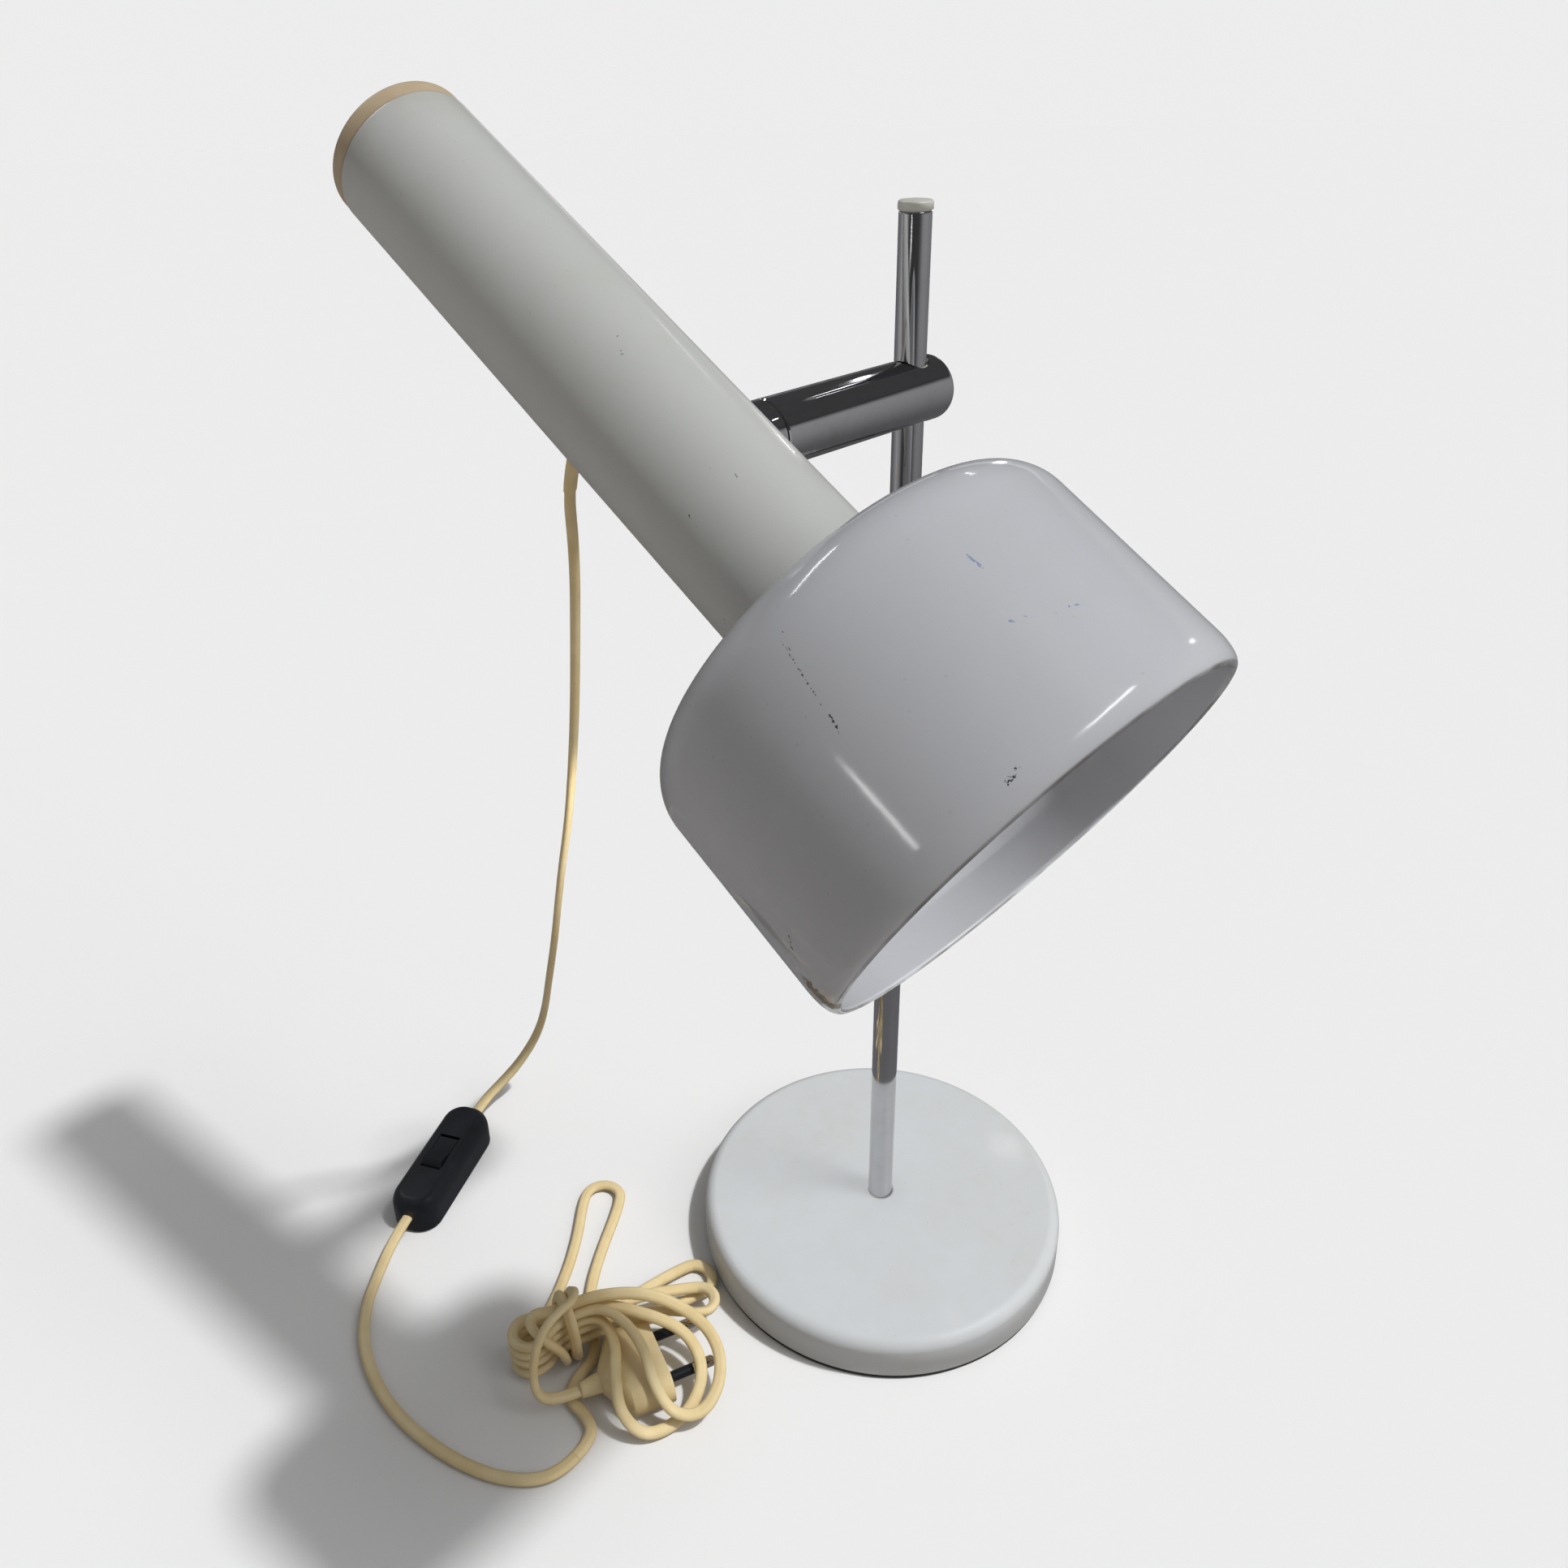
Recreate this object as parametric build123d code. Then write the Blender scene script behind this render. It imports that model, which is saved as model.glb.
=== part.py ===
from build123d import *
import math
import os

os.makedirs("parts", exist_ok=True)

# Overall sizes, in millimetres. The origin is the middle of the foot's underside.
BASE_R = 75.0
BASE_H = 19.0
PAD_H = 1.6
SHEET = 1.0
BASE_EDGE = 5.0
STEM_R = 5.0
STEM_TOP = 420.0
STEM_CAP_H = 3.0
STUD_R = 3.0

# Arm: a bar along X that slides and turns on the stem
ARM_Z = 363.0
ARM_R = 10.25
ARM_END = 11.0
ARM_FACE = -64.0
ARM_EDGE = 2.5
BUSH_L = 16.6
BUSH_WALL = 0.7
RUN_FIT = 0.05
BORE_R = 7.0
BORE_END = -13.0

# Head: a tube along its own axis, pitched below the horizontal, beside the arm's end
HEAD_X = -95.0
HEAD_PITCH = 30.0
TUBE_R = 23.5
TUBE_REAR = -138.0
TUBE_FRONT = 64.0
CAP_L = 7.0
SHADE_R = 62.5
SHADE_L = 72.5
SHOULDER_R = 15.0
LIP_L = 8.0
MOUTH_R = 59.8
EXIT_S = -38.0

# Cord, switch and plug
CORD_R = 2.0
SWITCH_AT = (-121.4, 154.7)
SWITCH_TURN = 28.5
SWITCH_L = 62.0
SWITCH_W = 22.0
SWITCH_H = 16.5
SWITCH_SEAM = 8.5
SWITCH_END_R = 9.5


def ring(outer, inner, low, high):
    """A plain ring along Z."""
    return extrude(Plane.XY.offset(low) * (Circle(outer) - Circle(inner)), high - low)


def disc(radius, low, high):
    """A plain disc along Z."""
    return extrude(Plane.XY.offset(low) * Circle(radius), high - low)


def turned(points):
    """A solid turned about Z from a closed outline of (radius, height) points."""
    outline = [(r, 0, z) for r, z in points]
    return revolve(make_face(Polyline(*outline, close=True)), Axis.Z)


def nut(flats, bore, low, high):
    """A hexagon nut along Z."""
    return extrude(Plane.XY.offset(low) * (RegularPolygon(flats / 2, 6, major_radius=False) - Circle(bore)), high - low)


# Places: the head's frame has Z along the shade's direction and Y towards the lamp's top side
pitch = math.radians(HEAD_PITCH)
HEAD = Plane(
    origin=(HEAD_X, 0, ARM_Z), x_dir=(1, 0, 0), z_dir=(0, -math.cos(pitch), -math.sin(pitch))
)
ARM = Plane(origin=(0, 0, ARM_Z), x_dir=(0, 1, 0), z_dir=(1, 0, 0))
SWITCH = Plane(
    origin=(SWITCH_AT[0], SWITCH_AT[1], 0),
    x_dir=(math.cos(math.radians(SWITCH_TURN)), math.sin(math.radians(SWITCH_TURN)), 0),
    z_dir=(0, 0, 1),
)

nodes = {}

# Foot: pressed cover, cast weight below it and a rubber pad
cover = disc(BASE_R, PAD_H, BASE_H)
cover = fillet(cover.edges().group_by(Axis.Z)[-1], BASE_EDGE)
hollow = disc(BASE_R - SHEET, PAD_H, BASE_H - SHEET)
hollow = fillet(hollow.edges().group_by(Axis.Z)[-1], BASE_EDGE - SHEET)
nodes["base_cover"] = cover - hollow - disc(STUD_R + 0.2, 0, BASE_H)

WEIGHT_TOP = BASE_H - SHEET
weight = disc(BASE_R - SHEET - 1.5, PAD_H, WEIGHT_TOP)
weight = fillet(weight.edges().group_by(Axis.Z)[-1], BASE_EDGE)
weight = weight - ring(60.0, 22.0, PAD_H, 7.0) - disc(13.0, PAD_H, 9.0) - disc(STUD_R + 0.2, 0, WEIGHT_TOP)
nodes["base_weight"] = weight
nodes["base_pad"] = disc(BASE_R - 0.6, 0, PAD_H)

# Stem, with a threaded stud through the foot
stem = disc(STEM_R, BASE_H, STEM_TOP - STEM_CAP_H) - disc(3.5, 32.0, STEM_TOP - STEM_CAP_H)
nodes["stem"] = stem + disc(STUD_R, 2.4, BASE_H)
nodes["stem_washer"] = ring(9.0, STUD_R + 0.2, 7.8, 9.0)
nodes["stem_nut"] = nut(10.0, STUD_R, 2.8, 7.8)
cap = disc(5.3, STEM_TOP - STEM_CAP_H, STEM_TOP)
cap = fillet(cap.edges().group_by(Axis.Z)[-1], 0.8)
nodes["stem_cap"] = cap + disc(3.5, STEM_TOP - STEM_CAP_H - 8.0, STEM_TOP - STEM_CAP_H)

# Sliding liner on the stem
liner_r = STEM_R + RUN_FIT + BUSH_WALL
nodes["slider_bush"] = ring(liner_r, STEM_R + RUN_FIT, ARM_Z - BUSH_L / 2, ARM_Z + BUSH_L / 2)


def along_arm(shape):
    """Move a solid drawn along Z so that its Z runs along the arm and its zero is the stem."""
    return ARM * shape


bar = disc(ARM_R, ARM_FACE, ARM_END)
bar = fillet(bar.edges().group_by(Axis.Z)[-1], ARM_EDGE)
bar = chamfer(bar.edges().group_by(Axis.Z)[0], 0.4)
bar = bar - disc(BORE_R, ARM_FACE, BORE_END) - disc(2.6, BORE_END, 0)
bar = along_arm(bar) - disc(liner_r + RUN_FIT, ARM_Z - 20, ARM_Z + 20)
nodes["bracket_body"] = bar

PLUNGER_TIP = -(liner_r + 2 * RUN_FIT)
PLUNGER_BACK = BORE_END - 3.0
plunger = disc(2.55, PLUNGER_BACK, PLUNGER_TIP)
plunger = chamfer(plunger.edges().group_by(Axis.Z)[-1], 0.5) + disc(4.5, PLUNGER_BACK, BORE_END - 0.2)
nodes["friction_plunger"] = along_arm(plunger)
SEAT = -27.0
buffer = ring(4.4, 1.6, SEAT, PLUNGER_BACK)
nodes["friction_buffer"] = along_arm(buffer)
seat = disc(BORE_R, SEAT - 5.0, SEAT) - extrude(Plane.XY.offset(SEAT - 5.0) * RegularPolygon(2.0, 6), 3.0)
nodes["spring_seat"] = along_arm(seat)

# Tilt joint: the head's stud turns in a bush at the arm's end, held by a spring washer and nut
BUSH_IN = -56.0
nodes["bracket_end_bush"] = along_arm(ring(BORE_R, STUD_R + RUN_FIT, ARM_FACE, BUSH_IN))
WASHER_T = 0.95
COLLAR_FACE = ARM_FACE - 0.05 - WASHER_T
nodes["tilt_washer"] = along_arm(ring(9.2, STUD_R, COLLAR_FACE, COLLAR_FACE + WASHER_T))
nodes["tilt_spring_washer"] = along_arm(
    turned([(STUD_R, BUSH_IN + 1.6), (STUD_R, BUSH_IN + 0.9), (6.2, BUSH_IN + 0.05), (6.2, BUSH_IN + 0.75)])
)
tilt_nut = nut(10.0, STUD_R, BUSH_IN + 1.6, BUSH_IN + 6.6)
nodes["tilt_nut"] = along_arm(tilt_nut)


def in_head(shape):
    """Move a solid drawn along Z into the head, zero at the tilt axis and Z towards the mouth."""
    return HEAD * shape


SADDLE_T = 3.5
SADDLE_X = HEAD_X + TUBE_R - SHEET - SADDLE_T
collar = along_arm(disc(ARM_R, SADDLE_X, COLLAR_FACE))
collar = collar - in_head(disc(TUBE_R, -60, 60)) - along_arm(disc(STUD_R, HEAD_X, COLLAR_FACE))
nodes["tilt_collar"] = collar
saddle = along_arm(disc(8.0, SADDLE_X, COLLAR_FACE)) & in_head(disc(TUBE_R - SHEET, -60, 60))
nodes["tilt_saddle"] = saddle - along_arm(disc(STUD_R, HEAD_X, 0))
stud = disc(STUD_R, SADDLE_X, BUSH_IN + 8.5) + disc(5.0, SADDLE_X - 3.5, SADDLE_X)
nodes["tilt_stud"] = along_arm(stud)

# Head tube and its rear cap
tube = ring(TUBE_R, TUBE_R - SHEET, TUBE_REAR, TUBE_FRONT)
tube = in_head(tube) - along_arm(disc(STUD_R, HEAD_X, COLLAR_FACE))
EXIT = Plane(
    origin=tuple(HEAD.origin + HEAD.z_dir * EXIT_S),
    x_dir=(1, 0, 0),
    z_dir=(0, math.sin(pitch), -math.cos(pitch)),
)
GLAND_R = 3.1
nodes["head_tube"] = tube - EXIT * disc(GLAND_R, TUBE_R - 8.0, TUBE_R + 4.0)
rear = disc(TUBE_R, TUBE_REAR - CAP_L, TUBE_REAR)
rear = fillet(rear.edges().group_by(Axis.Z)[0], 2.5)
rear = rear + disc(TUBE_R - SHEET, TUBE_REAR, TUBE_REAR + 6.0) - disc(TUBE_R - SHEET - 1.6, TUBE_REAR - CAP_L + 2.0, 0)
nodes["rear_cap"] = in_head(rear)

# Shade: flat top, round shoulder, straight drum and a small turned-in lip
MOUTH_S = TUBE_FRONT + SHADE_L
LIP_S = MOUTH_S - LIP_L
HOLE_R = TUBE_R - SHEET


def shade_outline(inset):
    """The shade's section, from its centre hole to its mouth, set in by a sheet's thickness."""
    corner = SHOULDER_R - inset
    top = TUBE_FRONT + inset
    side = SHADE_R - inset
    first = Line((HOLE_R, top), (side - corner, top))
    second = CenterArc((side - corner, top + corner), corner, 270, 90)
    third = Line((side, top + corner), (side, LIP_S))
    points = []
    for k in range(7):
        angle = math.radians(90.0 * k / 6)
        sag = (SHADE_R - MOUTH_R) * (1 - math.cos(angle))
        points.append((side - sag, LIP_S + LIP_L * math.sin(angle)))
    return first, second, third, Polyline(*points)


outer_line = shade_outline(0)
inner_line = shade_outline(SHEET)
outer_end = outer_line[3] @ 1
inner_end = inner_line[3] @ 1
closing = [Line(outer_end, inner_end), Line((HOLE_R, TUBE_FRONT), (HOLE_R, TUBE_FRONT + SHEET))]
section = make_face(Wire(Curve() + [*outer_line, *inner_line, *closing]))
shade = revolve(Plane.XZ * section, Axis.Z)
nodes["shade"] = in_head(shade)
RING_T = 1.2
RING_L = 9.0
FLANGE_W = 6.5
collar_ring = ring(HOLE_R, HOLE_R - RING_T, TUBE_FRONT - RING_L, TUBE_FRONT + SHEET)
flange = ring(HOLE_R + FLANGE_W, HOLE_R - RING_T, TUBE_FRONT + SHEET, TUBE_FRONT + SHEET + RING_T)
nodes["shade_ring"] = in_head(collar_ring + flange)

# Lampholder on a cup plate in the tube
PLATE_S = 9.0
PLATE_T = 1.5
PLATE_RIM = 7.0
NIPPLE_R = 5.0
NIPPLE_BORE = 3.5
NUT_H = 4.5
plate = ring(TUBE_R - SHEET, NIPPLE_R + 0.1, PLATE_S, PLATE_S + PLATE_T)
plate = plate + ring(TUBE_R - SHEET, TUBE_R - SHEET - RING_T, PLATE_S + PLATE_T, PLATE_S + PLATE_T + PLATE_RIM)
nodes["holder_plate"] = in_head(plate)
nodes["holder_nipple"] = in_head(ring(NIPPLE_R, NIPPLE_BORE, PLATE_S - NUT_H - 1.5, PLATE_S + PLATE_T + 5.5))
nodes["holder_locknut"] = in_head(nut(14.0, NIPPLE_R, PLATE_S - NUT_H, PLATE_S))
HOLDER_S = PLATE_S + PLATE_T
HOLDER_WALL = 2.0
SHELL_R = 19.5
DOME_L = 15.5
DOME_STEP = 10.0
INSERT_L = 6.0
inner_r = SHELL_R - HOLDER_WALL
dome = turned(
    [
        (NIPPLE_R, HOLDER_S), (NIPPLE_R + 6.0, HOLDER_S), (SHELL_R - 3.0, HOLDER_S + 0.4 * DOME_STEP),
        (SHELL_R, HOLDER_S + DOME_STEP), (SHELL_R, HOLDER_S + DOME_L), (inner_r, HOLDER_S + DOME_L),
        (inner_r, HOLDER_S + DOME_STEP), (SHELL_R - 4.3, HOLDER_S + 0.4 * DOME_STEP + HOLDER_WALL),
        (NIPPLE_R + 5.0, HOLDER_S + HOLDER_WALL), (NIPPLE_R, HOLDER_S + HOLDER_WALL),
    ]
)
nodes["lampholder_cap"] = in_head(dome)
insert_low = HOLDER_S + DOME_L - INSERT_L + 1.0
contact_low = insert_low + INSERT_L
nodes["lampholder_insert"] = in_head(ring(inner_r, 3.0, insert_low, contact_low))
SCREW_R = 13.2
SKIRT_L = 14.5
SOCKET_L = 30.0
socket_r = SCREW_R + 0.5
skirt_end = HOLDER_S + DOME_L + SKIRT_L
shell_end = HOLDER_S + DOME_L + SOCKET_L
shell = turned(
    [
        (SHELL_R, HOLDER_S + DOME_L), (SHELL_R, skirt_end), (socket_r + 3.3, skirt_end + 3.0),
        (socket_r + 3.3, shell_end), (socket_r, shell_end), (socket_r, contact_low), (inner_r, contact_low),
        (inner_r, HOLDER_S + DOME_L),
    ]
)
nodes["lampholder_shell"] = in_head(shell)
BULB_S = shell_end + 1.0
bulb_cap = turned(
    [
        (0, contact_low), (4.5, contact_low), (4.5, contact_low + 1.5), (9.0, contact_low + 3.5),
        (SCREW_R, contact_low + 6.5), (SCREW_R, BULB_S), (SCREW_R - 1.6, BULB_S), (SCREW_R - 1.6, BULB_S + 1.5),
        (0, BULB_S + 1.5),
    ]
)
nodes["bulb_cap"] = in_head(bulb_cap)
GLOBE_R = 27.5
GLOBE_S = BULB_S + 39.5
NECK_R = 14.0
GLASS_T = 1.0
SHOULDER_A = 38.0


def bulb_lines(inset):
    """Half section of the bulb's glass: neck, a straight flare and the globe's arc to its crown."""
    globe = GLOBE_R - inset
    angle = math.radians(SHOULDER_A)
    low = (globe * math.cos(angle), GLOBE_S - globe * math.sin(angle))
    neck = [(NECK_R - inset, BULB_S), (NECK_R - inset, BULB_S + 6.0), low]
    mid = (globe * math.cos(math.radians(26)), GLOBE_S + globe * math.sin(math.radians(26)))
    return neck, ThreePointArc(low, mid, (0, GLOBE_S + globe))


outer_neck, outer_globe = bulb_lines(0)
inner_neck, inner_globe = bulb_lines(GLASS_T)
glass_wire = [
    Polyline(*outer_neck), outer_globe, Line((0, GLOBE_S + GLOBE_R), (0, GLOBE_S + GLOBE_R - GLASS_T)),
    inner_globe, Polyline(*inner_neck), Line(inner_neck[0], outer_neck[0]),
]
glass = revolve(Plane.XZ * make_face(Wire(Curve() + glass_wire)), Axis.Z)
nodes["bulb_glass"] = in_head(glass)

# Cord gland, inner clamp and leads at the exit under the tube
gland_bore = CORD_R + RUN_FIT
gland_top = TUBE_R - 3.5
gland_seat = math.sqrt((TUBE_R - SHEET) ** 2 - 5.0**2) - RUN_FIT
gland_end = TUBE_R + 9.0
gland = turned(
    [
        (gland_bore, gland_top), (5.0, gland_top), (5.0, gland_seat), (GLAND_R, gland_seat),
        (GLAND_R, TUBE_R + 0.5), (CORD_R + 0.7, gland_end), (gland_bore, gland_end),
    ]
)
nodes["cord_gland"] = EXIT * gland
LEAD_R = 1.4
clamp = ring(5.0, LEAD_R, gland_top - 3.0, gland_top)
nodes["cord_clamp"] = EXIT * clamp


def arc_radii(points, share=0.45):
    """One bend radius for each corner of a route, from its shorter run and its turn."""
    radii = []
    for a, b, c in zip(points, points[1:], points[2:]):
        back = Vector(a) - Vector(b)
        ahead = Vector(c) - Vector(b)
        turn = math.radians(180.0 - back.get_angle(ahead))
        radii.append(share * min(back.length, ahead.length) / math.tan(turn / 2))
    return radii


def cord(name, points, radius):
    """Sweep a round cord along a route of straight runs joined by tangent arcs."""
    radii = arc_radii(points)
    path = FilletPolyline(*points, radius=radii)
    body = sweep(Plane(origin=path @ 0, z_dir=path % 0) * Circle(radius), path=path)
    share = body.volume / (path.length * math.pi * radius**2)
    print(name, "length", round(path.length), "least radius", round(min(radii), 1), "volume share", round(share, 3))
    return body


leads = [(EXIT_S, TUBE_R), (EXIT_S, TUBE_R - 12.0), (EXIT_S + 9.0, 2.5), (-5.0, 0), (HOLDER_S + 9.0, 0)]
under = Vector(0, math.sin(pitch), -math.cos(pitch))
lead_points = [tuple(HEAD.origin + HEAD.z_dir * s + under * n) for s, n in leads]
nodes["inner_leads"] = cord("inner_leads", lead_points, LEAD_R)

# Hanging cord from the gland to the switch
HANGING = [tuple((EXIT * Pos(0, 0, n)).position) for n in (TUBE_R, TUBE_R + 17.0)]
HANGING += [
    (-89.0, 60.5, 318.0), (-85.5, 69.0, 284.0),
    (-83.0, 77.0, 249.0), (-81.5, 87.0, 208.0), (-79.0, 101.0, 170.0), (-72.0, 120.0, 126.0),
    (-62.0, 143.0, 86.0), (-55.0, 160.0, 54.0), (-56.0, 168.0, 34.0), (-64.5, 173.0, 19.0),
    (-75.0, 175.5, 11.0),
]
HANGING += [tuple((SWITCH * Pos(x, 0, SWITCH_SEAM)).position) for x in (SWITCH_L / 2 + 10.0, SWITCH_L / 2)]
nodes["cord_hanging"] = cord("cord_hanging", HANGING, CORD_R)

# Inline switch: lower half, upper half, rocker on a pin, two screws
WALL = 1.6


def capsule(length, width, end_radius, low, high):
    """A long block with strongly rounded ends."""
    return extrude(Plane.XY.offset(low) * RectangleRounded(length, width, end_radius), high - low)


lower = capsule(SWITCH_L, SWITCH_W, SWITCH_END_R, 0, SWITCH_SEAM)
lower = fillet(lower.edges().group_by(Axis.Z)[0], 1.5)
lower = lower - capsule(SWITCH_L - 2 * WALL, SWITCH_W - 2 * WALL, SWITCH_END_R - WALL, WALL, SWITCH_SEAM)
SCREW_P = 23.0
posts = [Pos(x, 0, 0) * disc(3.6, 0.8, SWITCH_SEAM) for x in (-SCREW_P, SCREW_P)]
holes = [Pos(x, 0, 0) * (disc(1.35, 0, SWITCH_SEAM) + disc(2.7, 0, 2.4)) for x in (-SCREW_P, SCREW_P)]
lower = lower + posts - holes
nodes["switch_base"] = SWITCH * lower
upper = capsule(SWITCH_L, SWITCH_W, SWITCH_END_R, SWITCH_SEAM, SWITCH_H)
upper = fillet(upper.edges().group_by(Axis.Z)[-1], 3.0)
room = capsule(SWITCH_L - 2 * WALL, SWITCH_W - 2 * WALL, SWITCH_END_R - WALL, SWITCH_SEAM, SWITCH_H - WALL)
room = fillet(room.edges().group_by(Axis.Z)[-1], 1.4)
PIN_Z = 11.5
ROCKER_R = 9.6
ROCKER_W = 9.0
slot = Pos(0, 0, SWITCH_H - 2) * Box(2 * ROCKER_R + 0.2, ROCKER_W + 0.7, 8)
bosses = [Pos(0, y, PIN_Z) * Box(5.0, 4.7, 5.0) for y in (-7.25, 7.25)]
upper_posts = [Pos(x, 0, 0) * disc(3.6, SWITCH_SEAM, SWITCH_H - 1.0) for x in (-SCREW_P, SCREW_P)]
pilot = [Pos(x, 0, 0) * disc(1.2, SWITCH_SEAM, SWITCH_SEAM + 5.0) for x in (-SCREW_P, SCREW_P)]
pin = Pos(0, 0, PIN_Z) * (Rot(90, 0, 0) * Cylinder(1.2, 16.8))
upper = upper - room - slot + bosses + upper_posts - pilot - pin
nodes["switch_cover"] = SWITCH * upper
nodes["switch_pin"] = SWITCH * pin
for tag, x in (("a", -SCREW_P), ("b", SCREW_P)):
    screw = Pos(x, 0, 0) * (disc(2.5, 0.6, 2.4) + disc(1.2, 2.4, SWITCH_SEAM + 5.0))
    nodes["switch_screw_" + tag] = SWITCH * screw
REST = 8.0
rise = math.tan(math.radians(REST))
top = SWITCH_H - PIN_Z
wedge = [(-12, top + 12 * rise), (0, top), (12, top + 12 * rise), (12, -2.4), (-12, -2.4)]
rocker = Rot(90, 0, 0) * extrude(Plane.XY * make_face(Polyline(*wedge, close=True)), ROCKER_W / 2, both=True)
rocker = rocker & (Rot(90, 0, 0) * Cylinder(ROCKER_R, ROCKER_W))
rocker = rocker - Rot(90, 0, 0) * Cylinder(1.2 + RUN_FIT, 20)
nodes["switch_rocker"] = SWITCH * (Pos(0, 0, PIN_Z) * (Rot(0, REST, 0) * rocker))

# Floor cord: down from the switch's other end and round to the bundle
FLOOR_Z = CORD_R
ON_FLOOR = [
    (-171.5, 127.5, 2.6), (-181.0, 119.9, FLOOR_Z), (-191.0, 106.0, FLOOR_Z), (-196.4, 88.7, FLOOR_Z),
    (-197.9, 70.1, FLOOR_Z), (-195.5, 51.8, FLOOR_Z), (-190.7, 34.6, FLOOR_Z), (-182.5, 18.5, FLOOR_Z),
    (-170.0, 7.4, FLOOR_Z), (-160.0, 8.48, FLOOR_Z),
]
outlet = SWITCH * Pos(-SWITCH_L / 2, 0, SWITCH_SEAM)
outlet_next = SWITCH * Pos(-SWITCH_L / 2 - 7.2, 0, SWITCH_SEAM)
floor_route = [tuple(outlet.position), tuple(outlet_next.position), (-163.0, 132.4, 6.2)] + ON_FLOOR
nodes["cord_floor"] = cord("cord_floor", floor_route, CORD_R)

# Knotted bundle, in its own flat frame: its loops lie along x, its waist is round the origin
KNOT = Plane(origin=(-131.0, 41.0, 0), x_dir=(math.cos(math.radians(-20)), math.sin(math.radians(-20)), 0), z_dir=(0, 0, 1))
LEVELS = [7.4, 12.0, 16.6, 21.2]
OUT_Y = 0.2
BACK_Y = 4.8
WAIST_Y = 2.5


def loop_end(x, y, radius, heading, z_first, z_last, turn=40):
    """Five corners round the far end of a loop."""
    reach = radius / math.cos(math.radians(turn / 2))
    corners = []
    for k in range(5):
        angle = math.radians(heading + (k - 2) * turn)
        z = z_first + (z_last - z_first) * k / 4
        corners.append((x + reach * math.cos(angle), y + reach * math.sin(angle), z))
    return corners


def turn_back(z, z_next):
    """The small loop left of the waist that climbs to the next level."""
    climb = z_next - z
    return [
        (-9, BACK_Y, z), (-15, 9.6, z + 0.1 * climb), (-22.5, 9.6, z + 0.3 * climb), (-26.5, 2.5, z + 0.5 * climb),
        (-22.5, -4.6, z + 0.7 * climb), (-15, -4.6, z + 0.9 * climb), (-9, OUT_Y, z_next),
    ]


def wrap(x_start, x_end, z_low=10.6, z_high=18.9, radius=8.6):
    """Eight corners of one turn round the waist."""
    reach = radius / math.cos(math.radians(22.5))
    corners = []
    for k in range(8):
        angle = 112.5 + 45 * k
        middle = z_high if angle % 360 < 180 else z_low
        x = x_start + (x_end - x_start) * k / 8
        y = WAIST_Y + reach * math.cos(math.radians(angle))
        corners.append((x, y, middle + reach * math.sin(math.radians(angle))))
    return corners


F = FLOOR_Z
KNOT_ROUTE = [
    (-16.1, -40.5, F), (-7.5, -36.3, F), (-7.3, -27, F), (-11.3, -19, F), (-6.5, -11.2, F), (3, -6.3, F),
    (6.6, 4, F), (9, 20, F), (19, 37, F),
]
# The long loop on the far side
KNOT_ROUTE += loop_end(31, 66, 8, 62, F, F, 42)
KNOT_ROUTE += [
    (14, 50, F), (2, 32, F), (-10, 19, F), (-20, 13, F), (-26.5, 4, F + 1.2), (-22.5, -4.6, F + 3),
    (-15, -4.6, F + 4.6), (-9, OUT_Y, LEVELS[0]),
]
# Two loops to the right
KNOT_ROUTE += [(9, OUT_Y, LEVELS[0]), (28, 0.6, 5.5)]
KNOT_ROUTE += loop_end(51.6, 10, 7.5, 8, F + 0.3, F + 0.3)
KNOT_ROUTE += [(28, 12.5, 4.5), (9, BACK_Y, LEVELS[0])]
KNOT_ROUTE += turn_back(LEVELS[0], LEVELS[1])
KNOT_ROUTE += [(9, OUT_Y, LEVELS[1] + 1.0), (25, -4, 16)]
KNOT_ROUTE += loop_end(46, -5, 8, -8, 12.8, 7.8)
KNOT_ROUTE += [(26, 5.5, 12), (9, BACK_Y, LEVELS[1])]
KNOT_ROUTE += turn_back(LEVELS[1], LEVELS[2])
# Two loops over the plug towards the near side
KNOT_ROUTE += [
    (8, OUT_Y, LEVELS[2] + 0.9), (10, -14, 18.2), (5, -27, 17.4), (2.6, -37.5, 12), (8, -44, 4), (17, -45, F),
    (28, -43, 4), (36, -37, 9), (38.5, -28, 12.5), (35, -18, 16.5), (23, -8.5, 20.3), (9, BACK_Y, LEVELS[2] + 1.2),
]
KNOT_ROUTE += turn_back(LEVELS[2], LEVELS[3])
KNOT_ROUTE += [
    (8, OUT_Y, LEVELS[3] + 0.9), (15, -11, 23.2), (18, -24, 21.5), (17, -36, 16), (21, -45, 8.5), (31, -48, 6.5),
    (41, -42, 9.5), (46, -31, 14), (43, -18, 18), (28, -4.5, 24.5), (9, BACK_Y, LEVELS[3] + 1.6),
]
# Small top loop, two turns round the waist, then down to the plug
KNOT_ROUTE += [
    (-9, BACK_Y, LEVELS[3] + 0.6), (-16, 6.5, LEVELS[3] + 1.8), (-19.5, 0.5, LEVELS[3] + 4.2),
    (-16.3, -7.6, LEVELS[3] + 4.4), (-10, -8.8, 17),
]
KNOT_ROUTE += wrap(-9.0, -4.5)[2:] + wrap(-4.5, 0.0)
PLUG_END = -7.0
PLUG_Y = -20.0
PLUG_T = 13.7
KNOT_ROUTE += [
    (-0.2, 3, 30.8), (-2.5, -1.8, 32.3), (-9, -4.4, 32.6), (-16, -8, 31), (-22, -13.5, 25), (-24, -19, 14),
    (-17.5, PLUG_Y, PLUG_T / 2), (PLUG_END, PLUG_Y, PLUG_T / 2),
]
bundle_route = [tuple((KNOT * Pos(*point)).position) for point in KNOT_ROUTE]
nodes["cord_bundle"] = cord("cord_bundle", bundle_route, CORD_R)


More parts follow.
